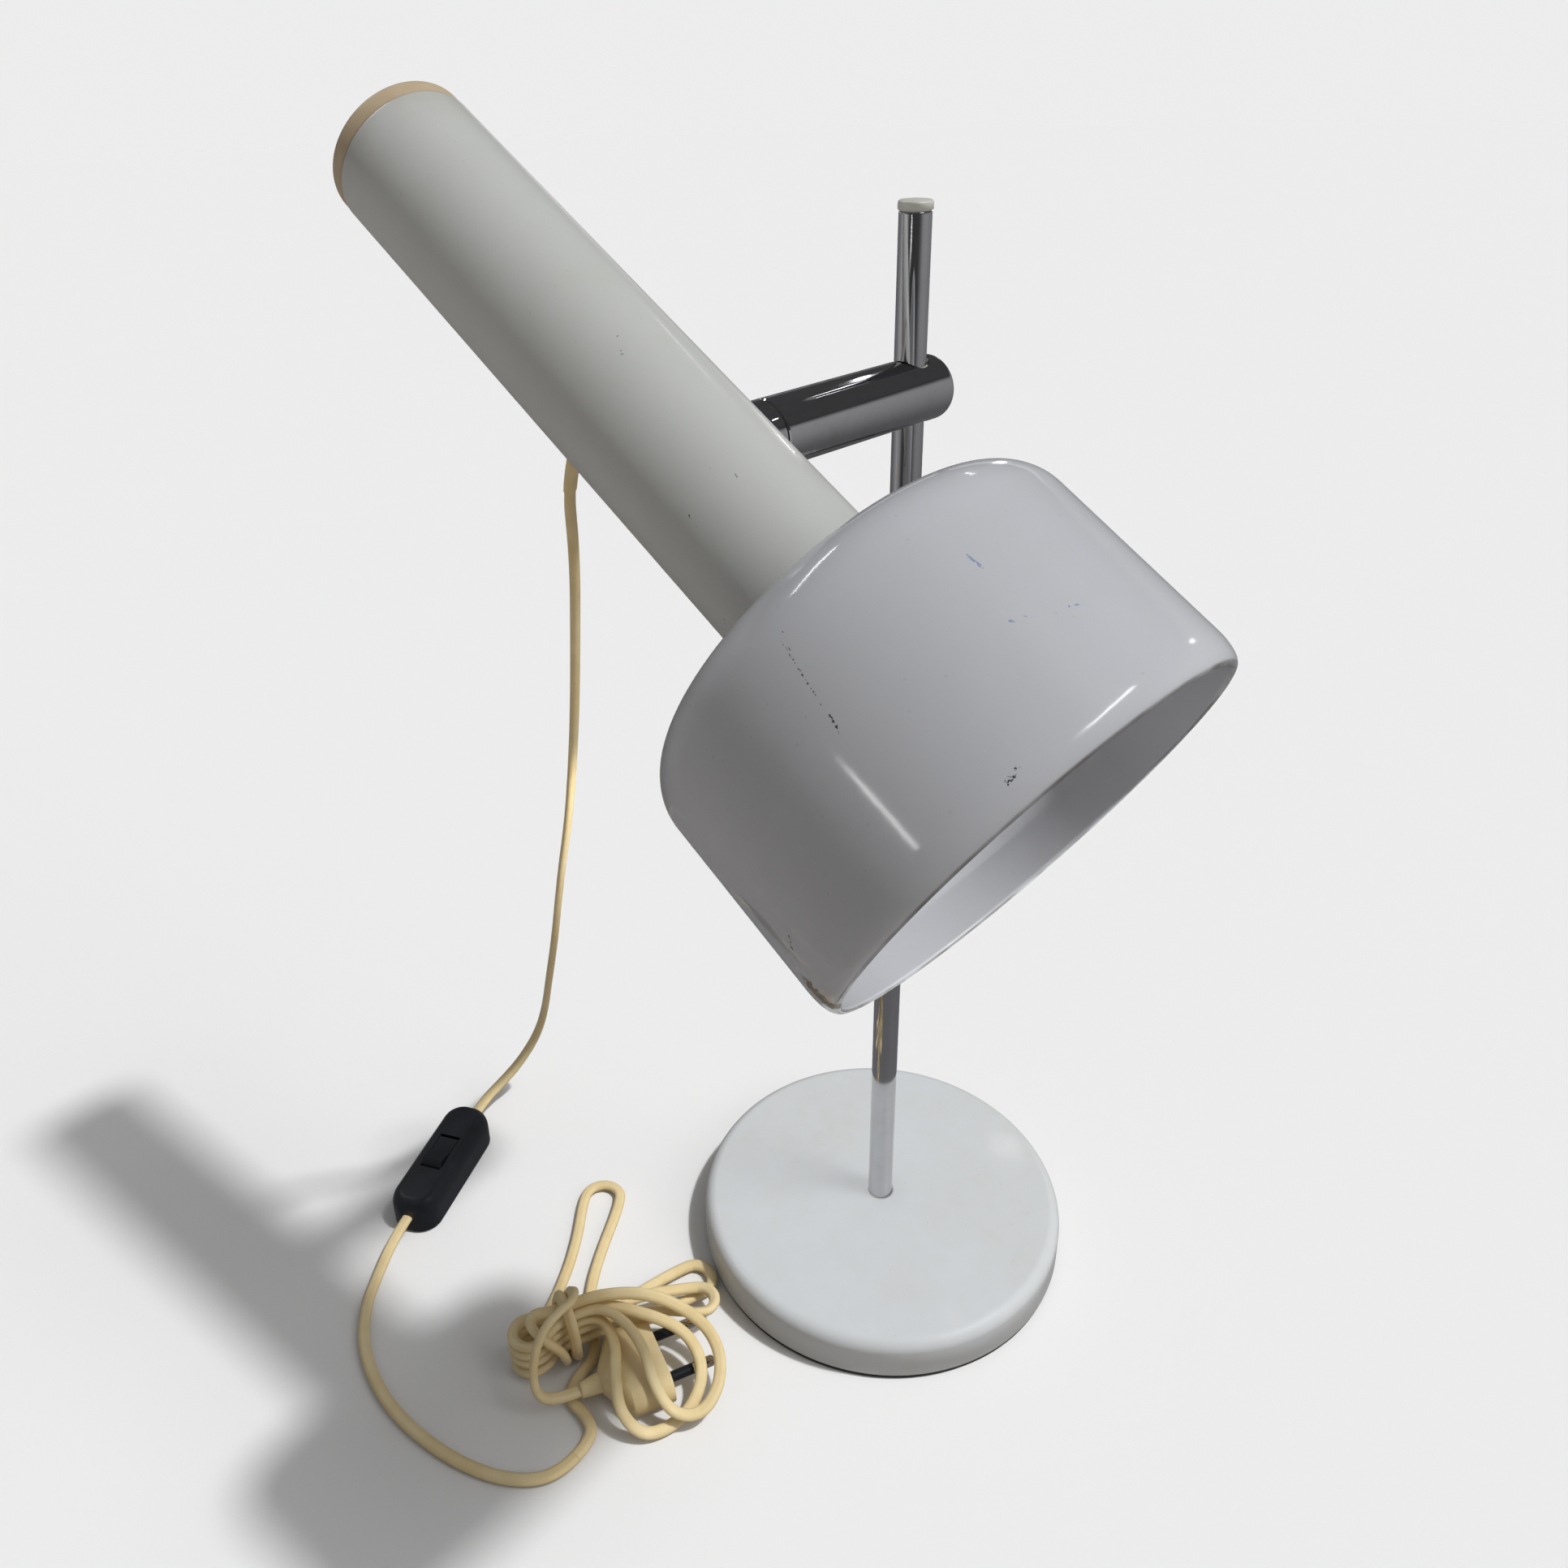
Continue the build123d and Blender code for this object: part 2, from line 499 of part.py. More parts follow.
def least_gap(points, radius, step=2.0):
    """Least gap of a cord to itself, on points along its route's arcs."""
    path = FilletPolyline(*points, radius=arc_radii(points))
    count = int(path.length / step)
    places = [tuple(path @ (k / count)) for k in range(count + 1)]
    apart = math.ceil(math.pi * 2 * radius / step)
    least = 1000.0
    for i, first in enumerate(places):
        for second in places[i + apart:]:
            least = min(least, math.dist(first, second))
    return least - 2 * radius


print("least gap of the bundle to itself", round(least_gap(bundle_route, CORD_R), 2))

# Flat two-pin plug lying under the near loops
PLUG_W = 35.3
PLUG_BACK = 1.0
PLUG_FULL = 9.0
PLUG_FACE = 25.0


def plug_section(x, width, thickness):
    """A flat section with half-round sides, standing across the plug."""
    place = Plane(origin=(x, PLUG_Y, PLUG_T / 2), x_dir=(0, 1, 0), z_dir=(1, 0, 0))
    return place * RectangleRounded(width, thickness, thickness / 2 - 0.05)


plug = loft([plug_section(PLUG_BACK, 9.0, 8.4), plug_section(PLUG_FULL, PLUG_W, PLUG_T)])
plug = plug + extrude(plug_section(PLUG_FULL, PLUG_W, PLUG_T), PLUG_FACE - PLUG_FULL)
neck = Plane(origin=(PLUG_END, PLUG_Y, PLUG_T / 2), x_dir=(0, 1, 0), z_dir=(1, 0, 0))
plug = plug + neck * (Cone(2.9, 3.9, 9.0, align=(Align.CENTER, Align.CENTER, Align.MIN)))
PIN_PITCH = 18.6
PIN_CORE = 1.55
pins = [Plane(origin=(PLUG_FACE, PLUG_Y + y, PLUG_T / 2), x_dir=(0, 1, 0), z_dir=(1, 0, 0)) for y in (-PIN_PITCH / 2, PIN_PITCH / 2)]
for place in pins:
    plug = plug - place * disc(PIN_CORE, -9.0, 0)
nodes["plug_body"] = KNOT * plug
for tag, place in zip("ab", pins):
    blade = disc(2.0, 10.0, 19.0)
    blade = fillet(blade.edges().group_by(Axis.Z)[-1], 1.5) + disc(PIN_CORE, -9.0, 10.0)
    nodes["plug_pin_" + tag] = KNOT * (place * blade)
    nodes["plug_sleeve_" + tag] = KNOT * (place * ring(1.95, PIN_CORE, 0, 10.0))

for name, shape in nodes.items():
    solids = shape.solids()
    if len(solids) != 1:
        print(name, "has", len(solids), "solids")
    shape.label = name
    export_step(shape, "parts/" + name + ".step")
print(len(nodes), "parts written")
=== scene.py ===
# %% [markdown]
# # A white spot lamp on a chrome stem
# The lamp has a heavy round foot, a thin stem, a short arm that slides and turns on the stem, and a tubular
# head with a wide shade that tilts on the arm's end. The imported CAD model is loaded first, as a frame that
# never moves. Every surface made here sits on it, in metres and in the same axes.

import math

import bmesh
import bpy
import numpy as np
from mathutils import Matrix, Vector


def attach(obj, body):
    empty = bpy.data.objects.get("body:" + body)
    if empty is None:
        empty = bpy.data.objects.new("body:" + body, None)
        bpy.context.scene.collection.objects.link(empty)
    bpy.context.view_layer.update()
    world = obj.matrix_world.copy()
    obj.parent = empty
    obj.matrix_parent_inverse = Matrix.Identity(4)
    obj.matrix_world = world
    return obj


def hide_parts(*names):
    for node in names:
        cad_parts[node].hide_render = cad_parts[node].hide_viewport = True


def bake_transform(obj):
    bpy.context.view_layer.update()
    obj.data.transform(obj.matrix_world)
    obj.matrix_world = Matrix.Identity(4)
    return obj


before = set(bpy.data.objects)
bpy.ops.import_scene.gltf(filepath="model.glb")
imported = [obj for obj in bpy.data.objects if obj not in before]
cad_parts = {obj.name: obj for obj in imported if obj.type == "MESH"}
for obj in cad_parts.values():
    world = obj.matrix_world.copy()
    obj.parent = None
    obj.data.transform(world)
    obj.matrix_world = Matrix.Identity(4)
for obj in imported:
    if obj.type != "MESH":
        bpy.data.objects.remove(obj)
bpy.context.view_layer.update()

# %% [markdown]
# ## The camera
# The photograph was taken from above the lamp's left side with a rather short lens. Its place and its turn
# were found by fitting the outlines of the foot, the stem, the arm and the head, so the numbers are written
# down as they came out: where the lens stands, and which way its right, up and forward axes point.

# %% Camera
LENS_PLACE = Vector((-0.319614, -0.254600, 0.465850))
LENS_RIGHT = Vector((0.72135, -0.69210, -0.02550))
LENS_UP = Vector((0.32215, 0.30271, 0.89700))
LENS_FORWARD = Vector((0.61308, 0.65526, -0.44132))


def add_object(name, data, matrix=None):
    """An object for a mesh, curve, camera or lamp, linked to the scene and set at a 4x4 matrix if one is given."""
    thing = bpy.data.objects.new(name, data)
    bpy.context.scene.collection.objects.link(thing)
    if matrix is not None:
        thing.matrix_world = matrix
    return thing


def turn_from(x, y, z):
    """A 4x4 turn whose columns are three axes."""
    return Matrix((x, y, z)).transposed().to_4x4()


lens = bpy.data.cameras.new("photo_camera")
lens.sensor_width, lens.lens, lens.clip_start = 36.0, 30.0, 0.01
lens.shift_x, lens.shift_y = 0.0366, -0.0709
at_lens = Matrix.Translation(LENS_PLACE) @ turn_from(LENS_RIGHT, LENS_UP, -LENS_FORWARD)
bpy.context.scene.camera = add_object("photo_camera", lens, at_lens)
bpy.context.scene.view_settings.view_transform = "Standard"
print("camera lens", lens.lens)

# %% [markdown]
# ## Surfaces from numbers
# Almost everything on this lamp was turned, drawn or moulded, so a few helpers cover it: a grid of points made
# into a mesh, an outline turned round an axis, and a tube closed at both ends. Each works on whole arrays.

# %% Mesh helpers
def mesh_piece(name, points, faces):
    """One smooth mesh object in the frame's axes from an array of points and a list of faces."""
    mesh = bpy.data.meshes.new(name)
    mesh.from_pydata(np.asarray(points, float).tolist(), [], faces)
    mesh.polygons.foreach_set("use_smooth", [True] * len(mesh.polygons))
    mesh.update()
    return add_object(name, mesh)


def weld(mesh, distance=1e-6):
    """Points that fall together merged, such as those of an outline's end on the axis; every face smooth."""
    work = bmesh.new()
    work.from_mesh(mesh)
    bmesh.ops.remove_doubles(work, verts=work.verts, dist=distance)
    bmesh.ops.dissolve_degenerate(work, edges=work.edges, dist=1e-6)
    work.to_mesh(mesh)
    work.free()
    mesh.polygons.foreach_set("use_smooth", [True] * len(mesh.polygons))
    mesh.update()


def grid_faces(rows, columns, wrap_rows=False):
    """Quads of a grid of rings, closed round each ring and, if asked, from the last ring to the first."""
    i = np.arange(rows if wrap_rows else rows - 1)[:, None]
    j = np.arange(columns)[None, :]
    i2, j2 = (i + 1) % rows, (j + 1) % columns
    quads = np.stack([i * columns + j, i * columns + j2, i2 * columns + j2, i2 * columns + j], -1)
    return quads.reshape(-1, 4).tolist()


def facing_out(points, faces):
    """The same faces, turned round if the volume they enclose comes out negative."""
    corners = np.array([f[:3] for f in faces] + [[f[0], f[2], f[3]] for f in faces if len(f) == 4])
    a, b, c = (points[corners[:, k]] - points.mean(0) for k in range(3))
    volume = np.einsum("ij,ij->i", a, np.cross(b, c)).sum()
    return [f[::-1] for f in faces] if volume < 0 else faces


def place(points, matrix):
    """Points in a local frame moved to the lamp's frame."""
    return np.asarray(points, float) @ matrix[:3, :3].T + matrix[:3, 3]


def ring_angles(steps):
    """Angles spread evenly round a ring."""
    return np.linspace(0, 2 * math.pi, steps, endpoint=False)


def spun(radius, height, steps):
    """A grid x = r cos a, y = r sin a, z = height, whose r and height may change with the row and with a."""
    a = ring_angles(steps)
    return np.stack(np.broadcast_arrays(radius * np.cos(a), radius * np.sin(a), height), -1)


def turned(name, outline, matrix, steps=160, closed=False):
    """Outline points (radius, height) turned round the local z axis; a closed outline has no ends on the axis."""
    outline = np.asarray(outline, float)
    points = place(spun(outline[:, :1], outline[:, 1:], steps).reshape(-1, 3), matrix)
    piece = mesh_piece(name, points, facing_out(points, grid_faces(len(outline), steps, closed)))
    if not closed:
        weld(piece.data)
    return piece


def capped(name, rings, ends):
    """A closed tube from a grid of rings, each end closed by a fan round its own point."""
    rows, steps = rings.shape[:2]
    points = np.concatenate([rings.reshape(-1, 3), ends])
    j, last = np.arange(steps), (rows - 1) * steps
    j2 = (j + 1) % steps
    first_fan = np.stack([np.full(steps, rows * steps), j2, j], -1)
    last_fan = np.stack([np.full(steps, rows * steps + 1), last + j, last + j2], -1)
    faces = grid_faces(rows, steps) + first_fan.tolist() + last_fan.tolist()
    piece = mesh_piece(name, points, facing_out(points, faces))
    piece.data.set_sharp_from_angle(angle=math.radians(60))
    return piece


def arc(centre, radius, start, end, count):
    """Points on an arc in (radius, height): centre + radius (cos, sin) from start to end degrees."""
    angle = np.radians(np.linspace(start, end, count))
    return np.stack([centre[0] + radius * np.cos(angle), centre[1] + radius * np.sin(angle)], -1)


def wall(radius, low, high, rows):
    """Points of a straight wall in (radius, height)."""
    return np.stack([np.full(rows, radius), np.linspace(low, high, rows)], -1)


# %% [markdown]
# ## Pieces of the frame
# Each finished piece rides on a moving body of the frame and takes the place of one source node. Moulded parts
# with many small features keep the source's shape: they are copies with their corners joined, so curved sides
# shade smoothly and the edges stay crisp.

# %% Dressing and copying
def dress(piece, body, node):
    """The piece rides on a body and replaces a source node, which is hidden."""
    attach(piece, body)
    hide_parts(node)


def copied(node, name, body, slot, angle=38):
    """A dressed copy of a CAD node's mesh with its loose corners joined, smooth except across sharp edges."""
    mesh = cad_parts[node].data.copy()
    weld(mesh, 2e-6)
    mesh.set_sharp_from_angle(angle=math.radians(angle))
    piece = add_object(name, mesh)
    dress(piece, body, node)
    return piece


# %% [markdown]
# The lamp's own frames: the foot's z is the stem, the arm's z runs along the arm, and the head's z runs
# along its tube towards the mouth. They are the same as the source's.

# %% Frames of the lamp
def axes_to_world(origin, x_axis, z_axis):
    """A 4x4 matrix from a place, an x direction and a z direction; y is z cross x."""
    z, x = Vector(z_axis).normalized(), Vector(x_axis).normalized()
    return np.array(Matrix.Translation(Vector(origin)) @ turn_from(x, z.cross(x), z))


def on_floor(x, y, heading):
    """A level frame on the floor, its x axis turned to a heading in degrees."""
    heading = math.radians(heading)
    return axes_to_world((x, y, 0), (math.cos(heading), math.sin(heading), 0), (0, 0, 1))


ARM_Z = 0.363
PITCH = math.radians(30.0)
HEAD_POINT = Vector((-0.095, 0, ARM_Z))
HEAD_AXIS = Vector((0, -math.cos(PITCH), -math.sin(PITCH)))
UNDERSIDE = Vector((0, math.sin(PITCH), -math.cos(PITCH)))
FOOT = np.eye(4)
ARM = axes_to_world((0, 0, ARM_Z), (0, 1, 0), (1, 0, 0))
HEAD = axes_to_world(HEAD_POINT, (1, 0, 0), HEAD_AXIS)
SWITCH = on_floor(-0.1214, 0.1547, 28.5)
KNOT = on_floor(-0.131, 0.041, -20)
print("head axis", [round(v, 3) for v in HEAD_AXIS])

# %% [markdown]
# ## The cord's line
# The cord is a flat twin flex. It leaves the tube's underside, hangs to the inline switch, runs over the
# floor and ends in a knotted bundle with the plug in it. Its route is the source's, in metres, and a smooth
# NURBS line runs through it. The tube that is seen follows points read from that line.

# %% Cord routes
def in_frame(matrix, points):
    """Route points in millimetres of a local frame, as points of the lamp's frame in metres."""
    return [tuple(p) for p in place(np.asarray(points, float) * 0.001, matrix)]


exit_place = HEAD_POINT + HEAD_AXIS * -0.038
HANGING = [tuple(exit_place + UNDERSIDE * n) for n in (0.0235, 0.0405)]
HANGING += [
    (-0.0890, 0.0605, 0.3180), (-0.0855, 0.0690, 0.2840), (-0.0830, 0.0770, 0.2490), (-0.0815, 0.0870, 0.2080),
    (-0.0790, 0.1010, 0.1700), (-0.0720, 0.1200, 0.1260), (-0.0620, 0.1430, 0.0860), (-0.0550, 0.1600, 0.0540),
    (-0.0560, 0.1680, 0.0340), (-0.0645, 0.1730, 0.0190), (-0.0750, 0.1755, 0.0110),
]
HANGING += in_frame(SWITCH, [(41.0, 0, 8.5), (31.0, 0, 8.5)])
ON_FLOOR = in_frame(SWITCH, [(-31.0, 0, 8.5), (-38.2, 0, 8.5)])
ON_FLOOR += [
    (-0.1630, 0.1324, 0.0062), (-0.1715, 0.1275, 0.0026), (-0.1810, 0.1199, 0.002), (-0.1910, 0.1060, 0.002),
    (-0.1964, 0.0887, 0.002), (-0.1979, 0.0701, 0.002), (-0.1955, 0.0518, 0.002), (-0.1907, 0.0346, 0.002),
    (-0.1825, 0.0185, 0.002), (-0.1700, 0.0074, 0.002), (-0.1600, 0.00848, 0.002),
]

# %% The knot's route
LEVELS = [7.4, 12.0, 16.6, 21.2]
OUT_Y, BACK_Y, WAIST_Y = 0.2, 4.8, 2.5


def loop_end(x, y, radius, heading, z_first, z_last, turn=40):
    """Five corners round a loop's far end, each a step of turn degrees on a circle of the given radius."""
    k = np.arange(5)
    angle = np.radians(heading + (k - 2) * turn)
    reach = radius / math.cos(math.radians(turn / 2))
    z = z_first + (z_last - z_first) * k / 4
    return np.stack([x + reach * np.cos(angle), y + reach * np.sin(angle), z], -1).tolist()


def turn_back(z, z_next):
    """The small loop left of the waist that climbs from one level to the next."""
    climb = z_next - z
    return [
        (-9, BACK_Y, z), (-15, 9.6, z + 0.1 * climb), (-22.5, 9.6, z + 0.3 * climb),
        (-26.5, 2.5, z + 0.5 * climb), (-22.5, -4.6, z + 0.7 * climb), (-15, -4.6, z + 0.9 * climb),
        (-9, OUT_Y, z_next),
    ]


def wrap(x_start, x_end, z_low=10.6, z_high=18.9, radius=8.6):
    """Eight corners of one turn round the waist, half circles above and below two straight sides."""
    k = np.arange(8)
    angle = np.radians(112.5 + 45 * k)
    reach = radius / math.cos(math.radians(22.5))
    middle = np.where(np.degrees(angle) % 360 < 180, z_high, z_low)
    x = x_start + (x_end - x_start) * k / 8
    return np.stack([x, WAIST_Y + reach * np.cos(angle), middle + reach * np.sin(angle)], -1).tolist()


F = 2.0
KNOTTED = [
    (-16.1, -40.5, F), (-7.5, -36.3, F), (-7.3, -27, F), (-11.3, -19, F), (-6.5, -11.2, F), (3, -6.3, F),
    (6.6, 4, F), (9, 20, F), (19, 37, F),
]
KNOTTED += loop_end(31, 66, 8, 62, F, F, 42)
KNOTTED += [
    (14, 50, F), (2, 32, F), (-10, 19, F), (-20, 13, F), (-26.5, 4, F + 1.2), (-22.5, -4.6, F + 3),
    (-15, -4.6, F + 4.6), (-9, OUT_Y, LEVELS[0]), (9, OUT_Y, LEVELS[0]), (28, 0.6, 5.5),
]
KNOTTED += loop_end(51.6, 10, 7.5, 8, F + 0.3, F + 0.3)
KNOTTED += [(28, 12.5, 4.5), (9, BACK_Y, LEVELS[0])] + turn_back(LEVELS[0], LEVELS[1])
KNOTTED += [(9, OUT_Y, LEVELS[1] + 1.0), (25, -4, 16)] + loop_end(46, -5, 8, -8, 12.8, 7.8)
KNOTTED += [(26, 5.5, 12), (9, BACK_Y, LEVELS[1])] + turn_back(LEVELS[1], LEVELS[2])
KNOTTED += [
    (8, OUT_Y, LEVELS[2] + 0.9), (10, -14, 18.2), (5, -27, 17.4), (2.6, -37.5, 12), (8, -44, 4), (17, -45, F),
    (28, -43, 4), (36, -37, 9), (38.5, -28, 12.5), (35, -18, 16.5), (23, -8.5, 20.3),
    (9, BACK_Y, LEVELS[2] + 1.2),
]
KNOTTED += turn_back(LEVELS[2], LEVELS[3])
KNOTTED += [
    (8, OUT_Y, LEVELS[3] + 0.9), (15, -11, 23.2), (18, -24, 21.5), (17, -36, 16), (21, -45, 8.5),
    (31, -48, 6.5), (41, -42, 9.5), (46, -31, 14), (43, -18, 18), (28, -4.5, 24.5),
    (9, BACK_Y, LEVELS[3] + 1.6), (-9, BACK_Y, LEVELS[3] + 0.6), (-16, 6.5, LEVELS[3] + 1.8),
    (-19.5, 0.5, LEVELS[3] + 4.2), (-16.3, -7.6, LEVELS[3] + 4.4), (-10, -8.8, 17),
]
KNOTTED += wrap(-9.0, -4.5)[2:] + wrap(-4.5, 0.0)
PLUG_Y, PLUG_MIDDLE = -20.0, 6.85
KNOTTED += [
    (-0.2, 3, 30.8), (-2.5, -1.8, 32.3), (-9, -4.4, 32.6), (-16, -8, 31), (-22, -13.5, 25), (-24, -19, 14),
    (-17.5, PLUG_Y, PLUG_MIDDLE), (-7.0, PLUG_Y, PLUG_MIDDLE),
]

# %% Smooth lines
def smooth_line(name, route, resolution=10):
    """Points read from a NURBS spline of order 3 whose control points are the route's points."""
    data = bpy.data.curves.new(name, "CURVE")
    data.dimensions = "3D"
    spline = data.splines.new("NURBS")
    spline.points.add(len(route) - 1)
    spline.points.foreach_set("co", np.c_[np.asarray(route), np.ones(len(route))].ravel())
    spline.order_u = 3
    spline.use_endpoint_u = True
    spline.resolution_u = resolution
    holder = add_object(name, data)
    mesh = bpy.data.meshes.new_from_object(holder)
    points = np.empty(len(mesh.vertices) * 3)
    mesh.vertices.foreach_get("co", points)
    bpy.data.objects.remove(holder)
    bpy.data.meshes.remove(mesh)
    return points.reshape(-1, 3)


def step_lengths(points):
    """Distances between neighbours."""
    return np.linalg.norm(np.diff(points, axis=0), axis=1)


def line_length(points):
    """Sum of the distances between neighbours."""
    return float(step_lengths(points).sum())


hanging_line = smooth_line("hanging_line", HANGING)
floor_line = smooth_line("floor_line", ON_FLOOR)
knot_line = smooth_line("knot_line", in_frame(KNOT, KNOTTED))
for name, line in (("hanging", hanging_line), ("floor", floor_line), ("knot", knot_line)):
    print(name, "cord length", round(line_length(line), 3), "m from", len(line), "points")

# %% [markdown]
# ## Flat twin flex
# The flex is two conductors side by side in one soft sleeve, so its section is an oval with a shallow groove
# along the middle of each flat side. It could be a bevelled curve, but a tube made from the line's points lets
# the wide side turn along the way: it faces the room where the cord hangs and lies flat on the floor.

# %% Frames along a line
def carried_frames(points, first_wide):
    """The first wide direction carried along the line without twist, each step square to the new tangent."""
    along = np.gradient(points, axis=0)
    along = along / np.linalg.norm(along, axis=-1, keepdims=True)
    wide = np.empty_like(points)
    current = np.asarray(first_wide, float)
    for k in range(len(points)):
        current = current - along[k] * (current @ along[k])
        current = current / np.linalg.norm(current)
        wide[k] = current
    return along, wide


def twisted(along, wide, last_wide):
    """Frames turned gradually so that the wide side ends at last_wide: the angle grows as a smooth step."""
    across = np.cross(along, wide)
    target = np.asarray(last_wide, float)
    target = target - along[-1] * (target @ along[-1])
    angle = math.atan2(target @ across[-1], target @ wide[-1])
    angle = (angle + math.pi / 2) % math.pi - math.pi / 2
    t = np.linspace(0, 1, len(wide))
    turn = (angle * (3 * t**2 - 2 * t**3))[:, None]
    wide = wide * np.cos(turn) + across * np.sin(turn)
    return wide, np.cross(along, wide)


# %% The flex's tube
FLEX_STEPS = 28


def flex_section(width, thickness, groove=0.10):
    """Oval x = w/2 cos a, y = t/2 sin a, with y drawn in near a = 90 and 270 degrees by a narrow bell."""
    a = ring_angles(FLEX_STEPS)
    dip = 1 - groove * np.exp(-((np.cos(a) / 0.3) ** 2))
    return np.stack([width / 2 * np.cos(a), thickness / 2 * np.sin(a) * dip], -1)


def along_line(points, wide, across, section):
    """A section at each point of the line: point + wide x + across y."""
    return points[:, None] + wide[:, None] * section[..., :1] + across[:, None] * section[..., 1:]


def flex_piece(name, rings, points):
    """A tube of rings, closed round the line's own end points."""
    return capped(name, rings, [points[0], points[-1]])


# %% [markdown]
# The hanging flex joins moving places: the head, the arm and the slider all move against the foot. It is cut
# into three lengths with shared ends, one for each joint it crosses, so the whole still reads as one flex.
# The first cut is low enough to clear the tube when the head tilts, and the second is high enough to stay above
# the floor when the slider is at its lowest.

# %% Hanging flex
HANG_WIDTH, HANG_THICK = 0.0050, 0.0032
RELIEF_L = 0.020
HANG_CUTS = (0.095, 0.164)


def station(points, distance):
    """Index of the point nearest to a distance along the line."""
    run = np.r_[0, np.cumsum(step_lengths(points))]
    return int(np.abs(run - distance).argmin())


switch_across = SWITCH[:3, 1]
along, wide = carried_frames(hanging_line, LENS_FORWARD)
wide, across = twisted(along, wide, switch_across)
hang_rings = along_line(hanging_line, wide, across, flex_section(HANG_WIDTH, HANG_THICK))
relief_end = station(hanging_line, RELIEF_L)
cuts = [0] + [station(hanging_line, d) for d in HANG_CUTS] + [len(hanging_line) - 1]
flex_pieces = []
for k, (first, second) in enumerate([("head", "arm"), ("arm", "slider"), ("slider", "foot")]):
    low, high = cuts[k], cuts[k + 1]
    path = hanging_line[low:high + 1]
    piece = flex_piece(f"flex_hanging_{k + 1}", hang_rings[low:high + 1], path)
    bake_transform(piece)
    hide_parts("cord_hanging")
    flex_pieces.append(piece)
    print(piece.name, round(line_length(path), 3), "m")

# %% [markdown]
# Where the flex leaves the tube it is sleeved by a short soft relief, thick at the metal and tapering to the
# flex. It follows the same line, so it hides the flex's first bend.

# %% Strain relief
RELIEF_WIDE, RELIEF_THICK, RELIEF_OVER, RIBS = 0.0029, 0.0021, 0.0006, 5
relief_rows = slice(0, relief_end + 1)
relief_line = hanging_line[relief_rows]
share = np.linspace(0, 1, len(relief_line))[:, None, None]
a = ring_angles(FLEX_STEPS)
thick_end = np.stack([RELIEF_WIDE * np.cos(a), RELIEF_THICK * np.sin(a)], -1)
thin_end = flex_section(HANG_WIDTH + RELIEF_OVER, HANG_THICK + RELIEF_OVER)
rib = 1 + 0.10 * np.clip(np.sin(share * 2 * math.pi * RIBS - 0.5), 0, 1) * (1 - share)
relief_section = (thick_end * (1 - share) + thin_end * share) * rib
relief_rings = along_line(relief_line, wide[relief_rows], across[relief_rows], relief_section)
relief = flex_piece("strain_relief", relief_rings, relief_line)
dress(relief, "head", "cord_gland")
print("strain relief", round(line_length(relief_line) * 1000), "mm")

# %% Floor flex
FLOOR_WIDTH, FLOOR_THICK = 0.0047, 0.0033
along, wide = carried_frames(floor_line, switch_across)
floor_section = flex_section(FLOOR_WIDTH, FLOOR_THICK)
floor_rings = along_line(floor_line, wide, np.cross(along, wide), floor_section)
floor_flex = flex_piece("flex_floor", floor_rings, floor_line)
dress(floor_flex, "foot", "cord_floor")

# %% [markdown]
# ## The knotted bundle
# The rest of the flex is folded into loops and wound twice round its own waist, with the plug left under the
# near loops. It is one unbroken tube on one line.

# %% Knotted flex
KNOT_WIDTH, KNOT_THICK = 0.0046, 0.0036
along, knot_wide = carried_frames(knot_line, wide[-1])
knot_wide, knot_across = twisted(along, knot_wide, KNOT[:3, 1])
knot_rings = along_line(knot_line, knot_wide, knot_across, flex_section(KNOT_WIDTH, KNOT_THICK))
knot_flex = flex_piece("flex_knot", knot_rings, knot_line)
dress(knot_flex, "foot", "cord_bundle")
plug = copied("plug_body", "plug_shell", "foot", "cord_plastic", 40)
print("flex in sight", round(sum(line_length(p) for p in (hanging_line, floor_line, knot_line)), 3), "m")

# %% [markdown]
# ## The foot
# The foot is a round sheet cover over a cast weight, with a softly rounded top edge. One outline turned round
# the stem gives the whole sheet, its inner side too. It sinks by a hair where the stem is pulled down on it.

# %% Foot cover
BASE_R, BASE_H, BASE_EDGE, PAD_H, SHEET = 0.075, 0.019, 0.005, 0.0016, 0.001
STEM_R = 0.005
SINK, SINK_REACH = 0.00035, 0.0035


def foot_outline():
    """Outer wall, edge arc and top, then back along the inside a sheet's thickness away."""
    edge = (BASE_R - BASE_EDGE, BASE_H - BASE_EDGE)
    ring_r = np.r_[np.linspace(edge[0], 0.012, 40), [0.0105, 0.0090, 0.0075, 0.0062, 0.00508]]
    sink = SINK * np.exp(-(((ring_r - STEM_R) / SINK_REACH) ** 2))
    top = np.stack([ring_r, BASE_H - sink], -1)
    outer_foot = [[BASE_R - 0.0006, PAD_H], [BASE_R, PAD_H + 0.0006]]
    inner_top = np.stack([ring_r[::-4], BASE_H - SHEET - sink[::-4]], -1)
    inner_edge = arc(edge, BASE_EDGE - SHEET, 88, 0, 12)
    return np.r_[outer_foot, arc(edge, BASE_EDGE, 0, 88, 22), top, inner_top, inner_edge, [[BASE_R - SHEET, PAD_H]]]


foot = turned("foot_cover", foot_outline(), FOOT, steps=224, closed=True)
dress(foot, "foot", "base_cover")
print("foot cover", len(foot.data.polygons), "faces")

# %% [markdown]
# ## Stem and arm
# The stem is chromed tube with a small domed plug on top. The arm is a chromed bar with a rounded free end, and
# the stem passes through a lined cross hole in it. Polished metal shows every facet, so both are turned finely,
# and a close pair of rows beside each edge keeps the straight part's shading straight.

